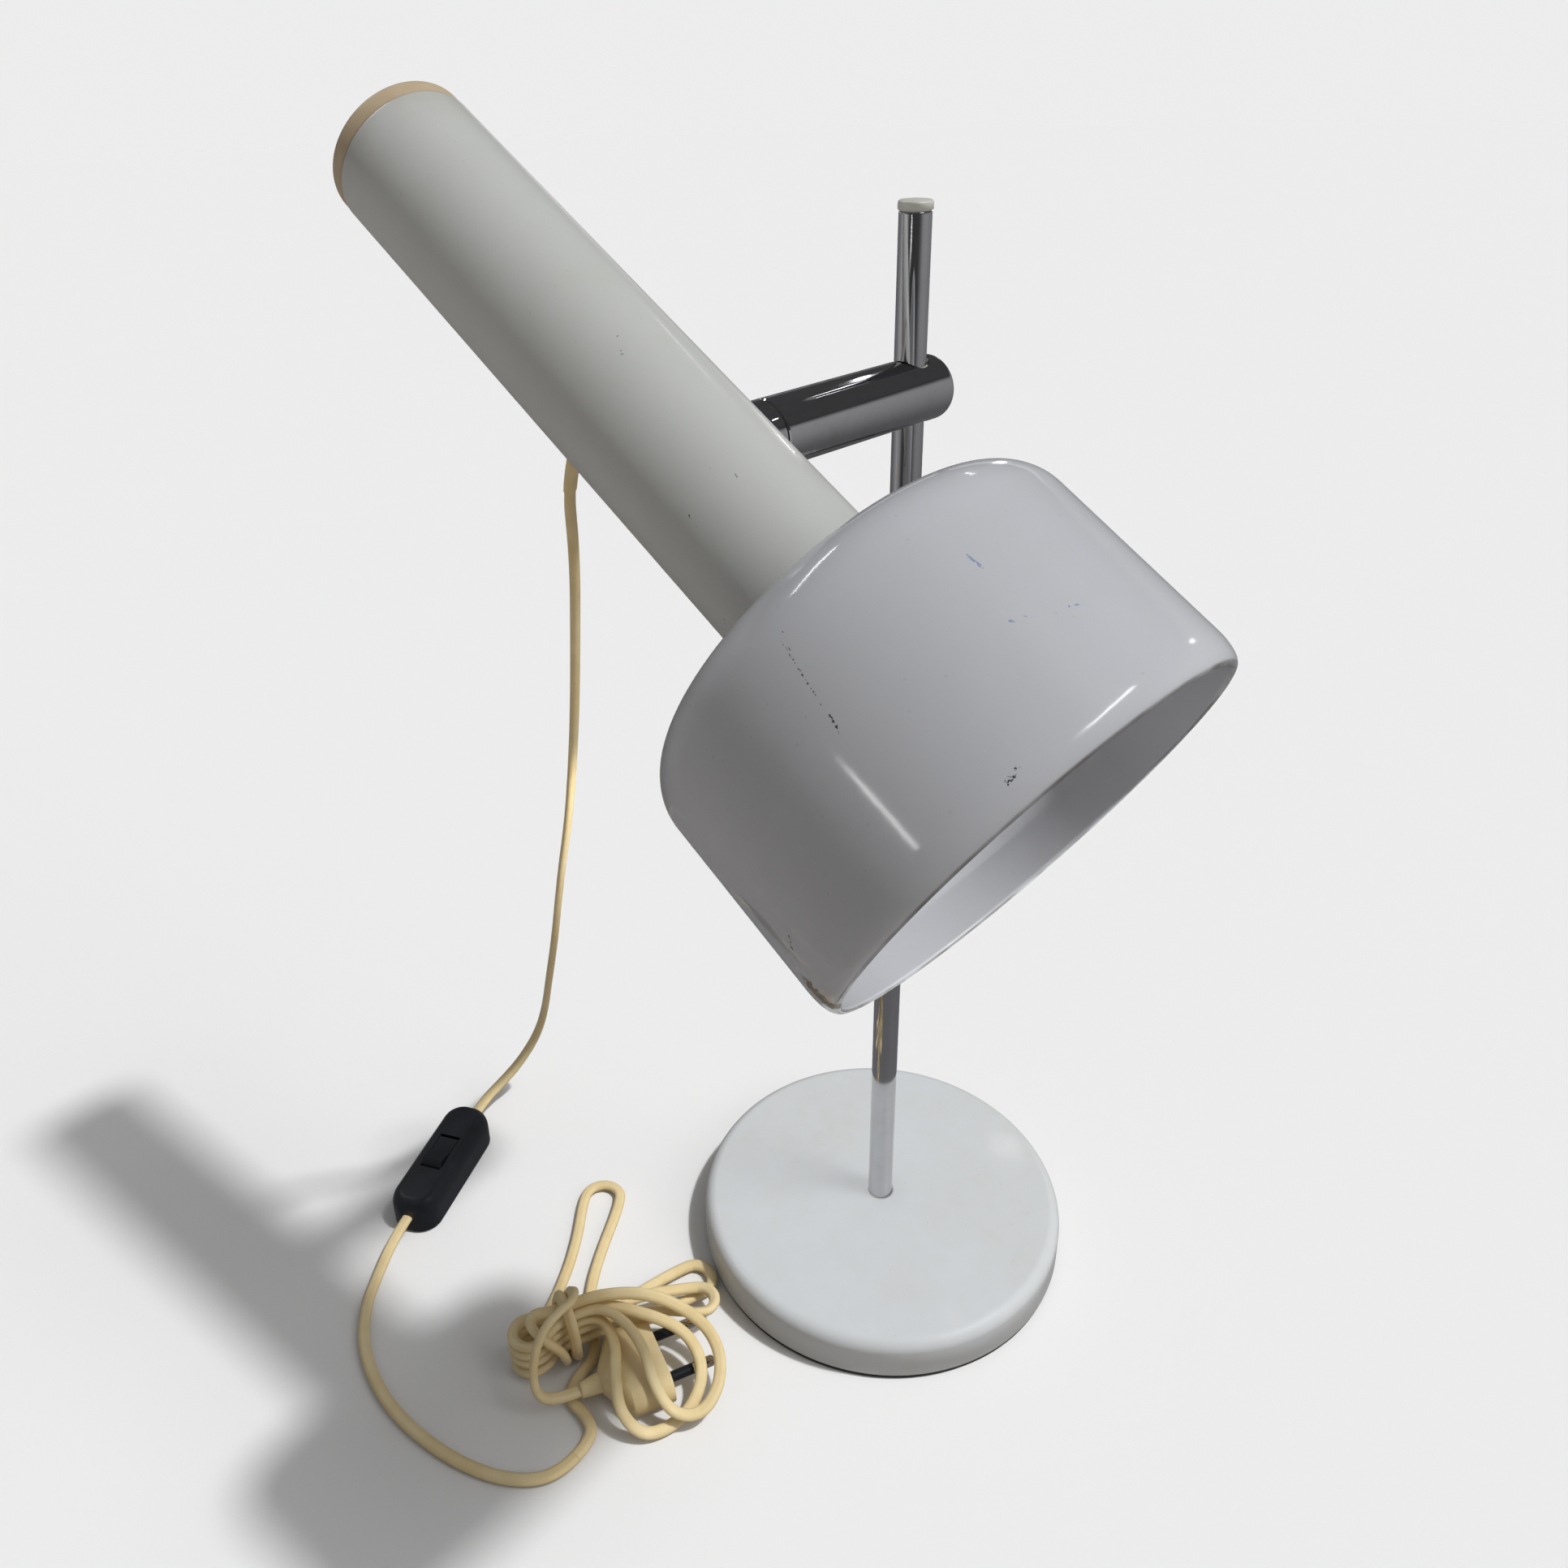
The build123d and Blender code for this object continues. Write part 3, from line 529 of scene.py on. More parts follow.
# %% Stem
STEM_TOP, CAP_H, CAP_R = 0.420, 0.003, 0.0053
TUBE_TOP = STEM_TOP - CAP_H
stem_outline = np.r_[
    [[0.0, BASE_H - 0.0010], [0.0046, BASE_H - 0.0010], [STEM_R, BASE_H - 0.0006], [STEM_R, BASE_H]],
    wall(STEM_R, BASE_H + 0.0004, TUBE_TOP - 0.0008, 60),
    [[STEM_R, TUBE_TOP - 0.0004], [STEM_R - 0.0003, TUBE_TOP], [0.0, TUBE_TOP]],
]
stem = turned("stem_tube", stem_outline, FOOT, steps=96)
cap_outline = np.r_[
    [[0.0, TUBE_TOP], [CAP_R - 0.0004, TUBE_TOP], [CAP_R, TUBE_TOP + 0.0003]],
    arc((CAP_R - 0.0008, STEM_TOP - 0.0009), 0.0008, 0, 80, 10),
    [[0.0030, STEM_TOP - 0.00002], [0.0, STEM_TOP]],
]
stem_cap = turned("stem_cap_dome", cap_outline, FOOT, steps=96)
dress(stem, "foot", "stem")
dress(stem_cap, "foot", "stem_cap")

# %% Arm bar
ARM_R, ARM_END, ARM_FACE, ARM_EDGE = 0.01025, 0.011, -0.064, 0.0025
HOLE_R, HOLE_LOW, HOLE_HIGH = 0.0058, ARM_Z - 0.02, ARM_Z + 0.02


def carve(piece, tool, angle=40):
    """The tool's solid taken out of the piece; the tool is then deleted."""
    cut = piece.modifiers.new("hole", "BOOLEAN")
    cut.operation, cut.solver, cut.object = "DIFFERENCE", "EXACT", tool
    mesh = bpy.data.meshes.new_from_object(piece.evaluated_get(bpy.context.evaluated_depsgraph_get()))
    piece.modifiers.clear()
    piece.data = mesh
    mesh.set_sharp_from_angle(angle=math.radians(angle))
    bpy.data.objects.remove(tool)


bar_outline = np.r_[
    [[0.0, ARM_FACE], [0.0031, ARM_FACE], [ARM_R - 0.0004, ARM_FACE], [ARM_R, ARM_FACE + 0.0004]],
    wall(ARM_R, ARM_FACE + 0.001, ARM_END - ARM_EDGE - 0.0003, 48),
    arc((ARM_R - ARM_EDGE, ARM_END - ARM_EDGE), ARM_EDGE, 0, 90, 18),
    [[0.004, ARM_END], [0.0, ARM_END]],
]
bar = turned("arm_bar", bar_outline, ARM, steps=160)
hole = [[0, HOLE_LOW], [HOLE_R, HOLE_LOW], [HOLE_R, HOLE_HIGH], [0, HOLE_HIGH]]
carve(bar, turned("hole_rod", hole, FOOT, 96))
dress(bar, "arm", "bracket_body")
collar = copied("tilt_collar", "tilt_collar_saddle", "head", "chrome", 40)
liner = copied("slider_bush", "stem_liner", "slider", "nylon", 40)
print("arm bar", len(bar.data.polygons), "faces")

# %% [markdown]
# ## The head
# The head is one straight sheet tube with a moulded cap in its rear end. The shade is spun from one disc: a flat
# top, a round shoulder, a straight drum and a lip drawn in at the mouth. All three are outlines turned round the
# head's axis, closed along the inside, so the sheet has its real thickness. The rim is hemmed: inside, the
# last stretch is a straight taper to the mouth.

# %% Head tube and rear cap
TUBE_R, TUBE_REAR, TUBE_FRONT, CAP_L = 0.0235, -0.138, 0.064, 0.007
BORE_R = TUBE_R - SHEET
tube_outline = np.r_[
    [[TUBE_R - 0.0003, TUBE_REAR], [TUBE_R, TUBE_REAR + 0.0003]],
    wall(TUBE_R, TUBE_REAR + 0.001, TUBE_FRONT, 90), wall(BORE_R, TUBE_FRONT, TUBE_REAR, 6),
]
tube = turned("head_tube_shell", tube_outline, HEAD, steps=192, closed=True)
dress(tube, "head", "head_tube")
CAP_BACK, CAP_WALL, PLUG_IN = TUBE_REAR - CAP_L, 0.0016, 0.006
rear_outline = np.r_[
    [[0.0, CAP_BACK + 0.0006], [0.0120, CAP_BACK + 0.0006], [0.0126, CAP_BACK], [0.0170, CAP_BACK]],
    arc((TUBE_R - 0.0027, CAP_BACK + 0.0025), 0.0025, -90, 0, 16),
    [[TUBE_R - 0.0002, TUBE_REAR - 0.0006], [TUBE_R - 0.0006, TUBE_REAR - 0.0002], [BORE_R, TUBE_REAR]],
    [[BORE_R, TUBE_REAR + PLUG_IN], [BORE_R - CAP_WALL, TUBE_REAR + PLUG_IN]],
    [[BORE_R - CAP_WALL, CAP_BACK + 0.002], [0.0, CAP_BACK + 0.002]],
]
rear = turned("rear_cap_cover", rear_outline, HEAD, steps=160)
dress(rear, "head", "rear_cap")

# %% Shade
SHADE_R, SHADE_L, SHOULDER_R, LIP_L, MOUTH_R = 0.0625, 0.0725, 0.015, 0.008, 0.0598
MOUTH_S = TUBE_FRONT + SHADE_L
LIP_S = MOUTH_S - LIP_L
HEM_ROWS, SHADE_STEPS = 14, 320


def shade_side(inset, top_rows, wall_rows, lip_rows):
    """Flat top, shoulder arc, straight wall, then the lip: a quarter wave drawing the radius in."""
    corner, side, top_s = SHOULDER_R - inset, SHADE_R - inset, TUBE_FRONT + inset
    top = np.stack([np.linspace(BORE_R, side - corner - 0.0005, top_rows), np.full(top_rows, top_s)], -1)
    shoulder = arc((side - corner, top_s + corner), corner, -90, 0, 28)
    drum = wall(side, top_s + corner + 0.001, LIP_S - 0.0005, wall_rows)
    angle = np.linspace(0, math.pi / 2, lip_rows)
    lip = np.stack([side - (SHADE_R - MOUTH_R) * (1 - np.cos(angle)), LIP_S + LIP_L * np.sin(angle)], -1)
    return np.r_[top, shoulder, drum, lip]


outer = shade_side(0, 14, 40, 18)
inner = shade_side(SHEET, 6, 12, 12)[::-1]
inner[:HEM_ROWS] = np.linspace([outer[-1][0] - SHEET, MOUTH_S - 0.0002], inner[HEM_ROWS - 1], HEM_ROWS)
rim = [[outer[-1][0] - 0.0003, MOUTH_S + 0.00015], [outer[-1][0] - 0.0007, MOUTH_S + 0.0001]]
shade = turned("shade_spun", np.r_[outer, rim, inner], HEAD, steps=SHADE_STEPS, closed=True)
dress(shade, "head", "shade")
inside = np.arange(len(shade.data.polygons)) // SHADE_STEPS >= len(outer) + len(rim) - 1
shade.data.polygons.foreach_set("material_index", inside.astype(np.int32))
print("shade", len(shade.data.polygons), "faces")

# %% [markdown]
# ## Lamp in the shade
# The bulb is an opal globe on a threaded cap. The thread is a real helix: the radius rises and falls with the
# height along the axis plus the turn's share of one pitch.

# %% Bulb
HOLDER_S, DOME_L, SOCKET_L = 0.0105, 0.0155, 0.030
BULB_S = HOLDER_S + DOME_L + SOCKET_L + 0.001
GLOBE_R, GLOBE_S, NECK_R = 0.0275, BULB_S + 0.0395, 0.014
globe = arc((0, GLOBE_S), GLOBE_R, -38, 90, 64)
t = np.linspace(0, 1, 20)[:, None]
neck, bend = np.array([NECK_R, BULB_S + 0.006]), np.array([NECK_R + 0.0008, BULB_S + 0.0125])
flare = neck * (1 - t) ** 2 + bend * 2 * t * (1 - t) + globe[0] * t**2
neck_end = [[0.0, BULB_S], [NECK_R - 0.0004, BULB_S], [NECK_R, BULB_S + 0.0004]]
bulb = turned("bulb_globe", np.r_[neck_end, flare, globe[1:]], HEAD, steps=128)
dress(bulb, "head", "bulb_glass")


def threaded_cap(name, low, high, radius, pitch=0.0036, depth=0.0009, rows=90, steps=96):
    """Radius = radius - depth times a raised cosine of (height / pitch - turn), faded out at both ends."""
    s = np.linspace(low, high, rows)[:, None]
    fade = np.clip((s - low) / 0.003, 0, 1) * np.clip((high - s) / 0.002, 0, 1)
    wave = 0.5 - 0.5 * np.cos(2 * math.pi * ((s - low) / pitch) - ring_angles(steps))
    rings = spun(radius - depth * wave * fade, s, steps)
    return capped(name, place(rings, HEAD), place([[0, 0, low], [0, 0, high]], HEAD))


bulb_cap = threaded_cap("bulb_screw_cap", HOLDER_S + DOME_L + 0.001, BULB_S + 0.0004, 0.0131)
dress(bulb_cap, "head", "bulb_cap")
print("bulb", len(bulb.data.polygons), "faces, cap", len(bulb_cap.data.polygons))

# %% Copies of moulded and turned parts
COPIES = [
    ("switch_base", "switch_lower", "foot", "black_plastic"),
    ("switch_rocker", "switch_paddle", "rocker", "black_plastic"),
    ("lampholder_cap", "holder_dome", "head", "black_phenolic"),
    ("lampholder_shell", "holder_shell", "head", "black_phenolic"),
    ("shade_ring", "shade_retainer", "head", "zinc_steel"), ("holder_plate", "holder_cup", "head", "zinc_steel"),
    ("tilt_washer", "tilt_disc", "head", "dark_washer"), ("base_weight", "cast_weight", "foot", "cast_iron"),
    ("base_pad", "rubber_pad", "foot", "black_rubber"),
    ("plug_pin_a", "plug_blade_a", "foot", "brass"), ("plug_pin_b", "plug_blade_b", "foot", "brass"),
    ("plug_sleeve_a", "blade_sleeve_a", "foot", "black_plastic"),
    ("plug_sleeve_b", "blade_sleeve_b", "foot", "black_plastic"),
]
copies = {row[0]: copied(*row) for row in COPIES}
print(len(copies), "copies")

# %% [markdown]
# ## The switch
# The switch's upper half is a smooth cushion: rounded rectangles that shrink towards the top along a quarter
# ellipse. A block cuts the window in which the paddle rocks.

# %% Switch cushion
SHELL_HALF, SHELL_CORNER = np.array([0.031, 0.011]), 0.0095
SHELL_LOW, SHOULDER_LOW, SHELL_HIGH, SHOULDER_IN = 0.0085, 0.0094, 0.0165, 0.0048
WINDOW, PAST = np.array([0.0097, 0.00485]), 0.002
CORNERS = np.array([[1, 1], [-1, 1], [-1, -1], [1, -1]])


def rounded_ring(inset, height, steps=14):
    """A rounded rectangle: corner centre plus (corner radius - inset) times (cos a, sin a), at one height."""
    turn = np.radians(np.arange(4)[:, None] * 90 + np.linspace(0, 90, steps))
    round_part = (SHELL_CORNER - inset) * np.stack([np.cos(turn), np.sin(turn)], -1)
    flat = CORNERS[:, None, :] * (SHELL_HALF - SHELL_CORNER) + round_part
    return np.concatenate([flat.reshape(-1, 2), np.full((4 * steps, 1), height)], 1)


def stacked(name, rings):
    """A closed solid from rings of equal count: quads between rings, one face at each end."""
    columns = len(rings[0])
    ends = [list(range(columns))[::-1], list(range((len(rings) - 1) * columns, len(rings) * columns))]
    return mesh_piece(name, place(np.concatenate(rings), SWITCH), grid_faces(len(rings), columns) + ends)


t = np.linspace(0, math.pi / 2, 16)
insets, heights = SHOULDER_IN * (1 - np.cos(t)), SHOULDER_LOW + (SHELL_HIGH - SHOULDER_LOW) * np.sin(t)
rings = [rounded_ring(0.0, SHELL_LOW)] + [rounded_ring(*row) for row in zip(insets, heights)]
cushion = stacked("switch_upper", rings)
window = [np.column_stack([CORNERS * WINDOW, np.full(4, z)]) for z in (SHELL_LOW - PAST, SHELL_HIGH + PAST)]
carve(cushion, stacked("window_block", window), 50)
dress(cushion, "foot", "switch_cover")
print("switch cushion", len(cushion.data.polygons), "faces")

# %% [markdown]
# ## Materials
# Each finish is one material built from nodes. Effects that several finishes share are node groups, built once:
# soft clouds of tone, dust specks, hairline scratches, and a scuff laid between two points of the surface.

# %% Node helpers
def feed(tree, socket, value):
    """A socket linked to an output, or given a number, a vector or a colour."""
    if isinstance(value, bpy.types.NodeSocket):
        tree.links.new(value, socket)
    else:
        socket.default_value = (*value, 1.0) if socket.type == "RGBA" else value


def add_node(tree, kind, **inputs):
    """A node with its inputs fed by name, where _ stands for a space."""
    node = tree.nodes.new(kind)
    for key, value in inputs.items():
        feed(tree, node.inputs[key.replace("_", " ")], value)
    return node


def worked_out(tree, kind, operation, values):
    """A node of one operation with its inputs fed in order."""
    node = tree.nodes.new(kind)
    node.operation = operation
    for socket, value in zip(node.inputs, values):
        feed(tree, socket, value)
    return node


def maths(tree, operation, *values):
    """The output of one Math node, its result held between 0 and 1 for operations named with a star."""
    node = worked_out(tree, "ShaderNodeMath", operation.rstrip("*"), values)
    node.use_clamp = operation.endswith("*")
    return node.outputs[0]


def vectors(tree, operation, *values):
    """The output of one Vector Math node: its number for DOT_PRODUCT and LENGTH, else its vector."""
    outputs = worked_out(tree, "ShaderNodeVectorMath", operation, values).outputs
    return outputs["Value" if operation in ("DOT_PRODUCT", "LENGTH") else "Vector"]


def scaled(tree, vector, factor):
    """A vector or colour times a number."""
    output = vectors(tree, "SCALE", vector)
    feed(tree, output.node.inputs["Scale"], factor)
    return output


def blend_colour(tree, factor, first, second):
    """Two colours mixed by a factor."""
    node = tree.nodes.new("ShaderNodeMix")
    node.data_type = "RGBA"
    for index, value in ((0, factor), (6, first), (7, second)):
        feed(tree, node.inputs[index], value)
    return node.outputs[2]


def step_range(tree, value, low, high):
    """A value moved from the range low to high onto 0 to 1, with soft ends."""
    node = add_node(tree, "ShaderNodeMapRange", Value=value, From_Min=low, From_Max=high)
    node.interpolation_type = "SMOOTHSTEP"
    return node.outputs["Result"]


def noise(tree, at, scale, detail, **more):
    """The tone of a noise at a place."""
    return add_node(tree, "ShaderNodeTexNoise", Vector=at, Scale=scale, Detail=detail, **more).outputs["Fac"]


def new_group(name, output, **inputs):
    """An empty node group: numbers and vectors go in, each with its first value, and one number comes out."""
    group = bpy.data.node_groups.new(name, "ShaderNodeTree")
    for label, value in inputs.items():
        kind = "NodeSocketFloat" if isinstance(value, float) else "NodeSocketVector"
        socket = group.interface.new_socket(label, in_out="INPUT", socket_type=kind)
        if value is not None:
            socket.default_value = value
    group.interface.new_socket(output, in_out="OUTPUT", socket_type="NodeSocketFloat")
    return group, group.nodes.new("NodeGroupInput").outputs, group.nodes.new("NodeGroupOutput").inputs[0]


# %% Shared effects
def cloud_group():
    """Tone: two noises of different size, averaged and centred on zero."""
    group, given, out = new_group("soft_clouds", "Tone", Place=None, Scale=30.0)
    large = noise(group, given["Place"], given["Scale"], 4.0)
    small = noise(group, given["Place"], maths(group, "MULTIPLY", given["Scale"], 5.3), 3.0)
    total = maths(group, "ADD", large, maths(group, "MULTIPLY", small, 0.5))
    group.links.new(maths(group, "SUBTRACT", total, 0.75), out)
    return group


def speck_group():
    """Mask: cell centres nearer than a radius, kept only in some cells picked by their random colour."""
    group, given, out = new_group("dust_specks", "Mask", Place=None, Scale=300.0, Radius=0.12, Share=0.2)
    cells = add_node(group, "ShaderNodeTexVoronoi", Vector=given["Place"], Scale=given["Scale"])
    dot = maths(group, "SUBTRACT*", 1.0, maths(group, "DIVIDE", cells.outputs["Distance"], given["Radius"]))
    split = add_node(group, "ShaderNodeSeparateColor", Color=cells.outputs["Color"])
    kept = maths(group, "LESS_THAN", split.outputs[0], given["Share"])
    group.links.new(maths(group, "MULTIPLY", maths(group, "POWER", dot, 0.5), kept), out)
    return group


def hairline_group():
    """Mask: the thin zero lines of a noise stretched along one direction, broken up by a second noise."""
    group, given, out = new_group("hairlines", "Mask", Place=None, Stretch=(4.0, 60.0, 60.0), Width=0.01)
    drawn = vectors(group, "MULTIPLY", given["Place"], given["Stretch"])
    line = maths(group, "ABSOLUTE", maths(group, "SUBTRACT", noise(group, drawn, 1.0, 2.0, Distortion=0.4), 0.5))
    thin = maths(group, "SUBTRACT*", 1.0, maths(group, "DIVIDE", line, given["Width"]))
    breaks = step_range(group, noise(group, given["Place"], 55.0, 1.0), 0.5, 0.62)
    group.links.new(maths(group, "MULTIPLY", thin, breaks), out)
    return group


def scuff_group():
    """Mask: distance to the line from Start to End under Width, broken by a fine noise under Cover."""
    group, given, out = new_group(
        "scuff_between", "Mask", Place=None, Start=None, End=None, Width=0.001, Grain=900.0, Cover=0.5
    )
    reach = vectors(group, "SUBTRACT", given["End"], given["Start"])
    offset = vectors(group, "SUBTRACT", given["Place"], given["Start"])
    square = maths(group, "MAXIMUM", vectors(group, "DOT_PRODUCT", reach, reach), 1e-10)
    share = maths(group, "DIVIDE*", vectors(group, "DOT_PRODUCT", offset, reach), square)
    distance = vectors(group, "LENGTH", vectors(group, "SUBTRACT", offset, scaled(group, reach, share)))
    near = maths(group, "SUBTRACT*", 1.0, maths(group, "DIVIDE", distance, given["Width"]))
    level = maths(group, "MULTIPLY_ADD", near, 0.35, noise(group, given["Place"], given["Grain"], 2.0))
    limit = maths(group, "SUBTRACT", 1.0, maths(group, "MULTIPLY", given["Cover"], 0.6))
    edge = maths(group, "MULTIPLY", maths(group, "SUBTRACT", level, limit), 14.0)
    group.links.new(maths(group, "MULTIPLY*", edge, maths(group, "GREATER_THAN", near, 0.0)), out)
    return group


CLOUDS, SPECKS, HAIRLINES, SCUFF = cloud_group(), speck_group(), hairline_group(), scuff_group()


def shared(tree, group, **inputs):
    """A group placed in a material, its output returned."""
    node = tree.nodes.new("ShaderNodeGroup")
    node.node_tree = group
    for key, value in inputs.items():
        feed(tree, node.inputs[key], value)
    return node.outputs[0]


def new_finish(name, **settings):
    """A material with one Principled BSDF, its constant sockets written: material, tree and shader."""
    material = bpy.data.materials.new(name)
    material.use_nodes = True
    shader = material.node_tree.nodes["Principled BSDF"]
    for key, value in settings.items():
        feed(material.node_tree, shader.inputs[key.replace("_", " ")], value)
    return material, material.node_tree, shader


def object_place(tree):
    """Object coordinates."""
    return tree.nodes.new("ShaderNodeTexCoord").outputs["Object"]


def wire(tree, shader, paint, rough, height, strength, distance=0.0002):
    """Colour, roughness and a relief linked to the shader; None leaves its own value."""
    bump = add_node(tree, "ShaderNodeBump", Height=height, Strength=strength, Distance=distance) if height else None
    for key, output in (("Base Color", paint), ("Roughness", rough), ("Normal", bump and bump.outputs["Normal"])):
        if output:
            tree.links.new(output, shader.inputs[key])


print("shared groups", [g.name for g in (CLOUDS, SPECKS, HAIRLINES, SCUFF)])

# %% [markdown]
# ## Marks that the photograph shows
# The enamel has a few chips and scuffs. Each is placed by the pixel where it is seen: a ray from the camera
# through that pixel meets the surface, and the mark lies between two such points. A mark is given by its two
# pixels, its width, its grain, how much of it is covered, and its colour.

# %% Places of the marks
PHOTO_SIZE = 1932


def seen_on(piece, pixel):
    """Where the camera's ray through a pixel of the photograph first meets a piece that has no transform."""
    scale = lens.sensor_width / lens.lens
    right = (pixel[0] / PHOTO_SIZE - 0.5 + lens.shift_x) * scale
    up = (0.5 - pixel[1] / PHOTO_SIZE + lens.shift_y) * scale
    direction = (LENS_FORWARD + LENS_RIGHT * right + LENS_UP * up).normalized()
    hit, where, _, _ = piece.ray_cast(LENS_PLACE, direction)
    if not hit:
        print("no surface under", pixel)
    return tuple(where)


bpy.context.view_layer.update()
CHIP_DARK, RUB_DARK, RUB_BLUE = (0.05, 0.048, 0.048), (0.20, 0.205, 0.22), (0.24, 0.29, 0.40)
WORN_BROWN = (0.20, 0.165, 0.115)
SHADE_MARKS = [
    ((962, 790), (1032, 899), 0.00055, 1700.0, 0.28, CHIP_DARK),
    ((1022, 880), (1033, 901), 0.00085, 1400.0, 0.36, CHIP_DARK),
    ((1241, 965), (1253, 948), 0.00125, 1500.0, 0.38, CHIP_DARK),
    ((1190, 682), (1212, 699), 0.00095, 900.0, 0.44, RUB_BLUE),
    ((1244, 766), (1336, 744), 0.00125, 700.0, 0.26, RUB_BLUE),
    ((972, 1154), (982, 1186), 0.00120, 1300.0, 0.32, CHIP_DARK),
    ((1001, 1218), (1034, 1240), 0.00340, 900.0, 0.80, WORN_BROWN),
    ((964, 778), (974, 804), 0.00090, 1300.0, 0.24, RUB_DARK),
]
TUBE_MARKS = [
    ((758, 402), (766, 436), 0.0020, 1000.0, 0.16, RUB_DARK),
    ((849, 634), (851, 639), 0.0007, 1000.0, 0.45, CHIP_DARK),
    ((906, 584), (908, 588), 0.0005, 1000.0, 0.36, RUB_DARK),
]
shade_marks, tube_marks = (
    [(seen_on(piece, first), seen_on(piece, last), *rest) for first, last, *rest in marks]
    for piece, marks in ((shade, SHADE_MARKS), (tube, TUBE_MARKS))
)
print(len(shade_marks), "marks on the shade,", len(tube_marks), "on the tube")

# %% [markdown]
# ## Enamel
# Stoved enamel is a smooth, slightly wavy coat over sheet steel. Its colour drifts a little with age, it gathers
# specks of dust, and it shows hairlines under a raking light. One function makes it for the foot, tube and shade.

# %% Enamel
DUST = (0.30, 0.28, 0.25)


def enamel(name, colour, aged, roughness, marks=(), seam=None):
    """White enamel: a colour drifting to an aged one, a dark band (soiling at a seam, painted shade at a rim),
    chips, specks, hairlines and waves.
    """
    material, tree, shader = new_finish(name, IOR=1.5, Coat_Weight=0.12, Coat_Roughness=0.06)
    at = object_place(tree)
    tone = shared(tree, CLOUDS, Place=at, Scale=22.0)
    paint = blend_colour(tree, maths(tree, "MULTIPLY_ADD*", tone, 1.6, 0.35), colour, aged)
    specks = shared(tree, SPECKS, Place=at, Scale=420.0, Radius=0.16, Share=0.05)
    paint = blend_colour(tree, maths(tree, "MULTIPLY", specks, 0.35), paint, DUST)
    # The band darkens the paint near a plane across the axis: soiling at the tube's rear seam, and painted shade
    # along the shade's mouth rim.
    if seam:
        centre, axis, start, end, share, dirt_and_shade = seam
        along_axis = vectors(tree, "DOT_PRODUCT", vectors(tree, "SUBTRACT", at, centre), axis)
        near = maths(tree, "SUBTRACT", 1.0, step_range(tree, along_axis, start, end))
        grime_and_shade = maths(tree, "MULTIPLY", near, maths(tree, "MULTIPLY_ADD*", tone, 2.0, 0.45))
        paint = blend_colour(tree, maths(tree, "MULTIPLY*", grime_and_shade, share), paint, dirt_and_shade)
    lines = shared(tree, HAIRLINES, Place=at, Stretch=(34.0, 6.0, 41.0), Width=0.004)
    rough = maths(tree, "MULTIPLY_ADD", lines, 0.06, maths(tree, "MULTIPLY_ADD", tone, 0.10, roughness))
    height = noise(tree, at, 260.0, 1.5)
    for start, end, width, grain, cover, tint in marks:
        mask = shared(tree, SCUFF, Place=at, Start=start, End=end, Width=width, Grain=grain, Cover=cover)
        paint = blend_colour(tree, mask, paint, tint)
        rough = maths(tree, "MULTIPLY_ADD", mask, 0.35, rough)
        height = maths(tree, "MULTIPLY_ADD", mask, -1.5, height)
    wire(tree, shader, paint, maths(tree, "MINIMUM", rough, 0.9), height, 0.10)
    return material


REAR_DIRT = (tuple(HEAD_POINT), tuple(HEAD_AXIS), -0.139, -0.120, 0.5, (0.40, 0.37, 0.31))
MOUTH_POINT = tuple(HEAD_POINT + HEAD_AXIS * MOUTH_S)
# Painted shade: a near-black band along the shade's mouth rim stands in for the shadow there.
MOUTH_RIM_SHADE = (MOUTH_POINT, tuple(-HEAD_AXIS), 0.0001, 0.0006, 1.2, (0.13, 0.125, 0.12))
# One white enamel for foot, tube and shade, written lighter on the foot and darker on the head: painted light, set
# to how brightly each part is lit.
ENAMEL_FOOT = enamel("enamel_foot", (0.640, 0.665, 0.690), (0.600, 0.610, 0.600), 0.34)
ENAMEL_TUBE = enamel("enamel_tube", (0.500, 0.510, 0.500), (0.475, 0.485, 0.460), 0.30, tube_marks, REAR_DIRT)
ENAMEL_SHADE = enamel(
    "enamel_shade", (0.487, 0.497, 0.530), (0.466, 0.474, 0.497), 0.11, shade_marks, MOUTH_RIM_SHADE
)
ENAMEL_INSIDE = enamel("enamel_inside", (0.505, 0.525, 0.533), (0.479, 0.490, 0.487), 0.30)


def wear(piece, *materials):
    """The piece wears these materials in its slots."""
    piece.data.materials.clear()
    for material in materials:
        piece.data.materials.append(material)


wear(foot, ENAMEL_FOOT)
wear(tube, ENAMEL_TUBE)
wear(shade, ENAMEL_SHADE, ENAMEL_INSIDE)
print("enamel on", [p.name for p in (foot, tube, shade)])

# %% Metals
EVEN = (60.0, 60.0, 60.0)


def metal(name, colour, roughness, spread, stretch, dull, dulling, waves=0.0, metallic=1.0):
    """Bare metal: a colour dulled in clouds, roughness with hairlines in one direction, and optional waves."""
    material, tree, shader = new_finish(name, Metallic=metallic)
    at = object_place(tree)
    tone = shared(tree, CLOUDS, Place=at, Scale=60.0)
    mask = maths(tree, "MULTIPLY_ADD*", tone, 2.2, dulling)
    paint = blend_colour(tree, maths(tree, "MULTIPLY", mask, 0.5), colour, dull)
    lines = shared(tree, HAIRLINES, Place=at, Stretch=stretch, Width=0.02)
    rough = maths(tree, "MULTIPLY_ADD", lines, 0.12, maths(tree, "MULTIPLY_ADD", tone, spread, roughness))
    height = noise(tree, at, 300.0, 3.0) if waves else None
    wire(tree, shader, paint, maths(tree, "MAXIMUM", rough, 0.03), height, waves, 0.0003)
    return material


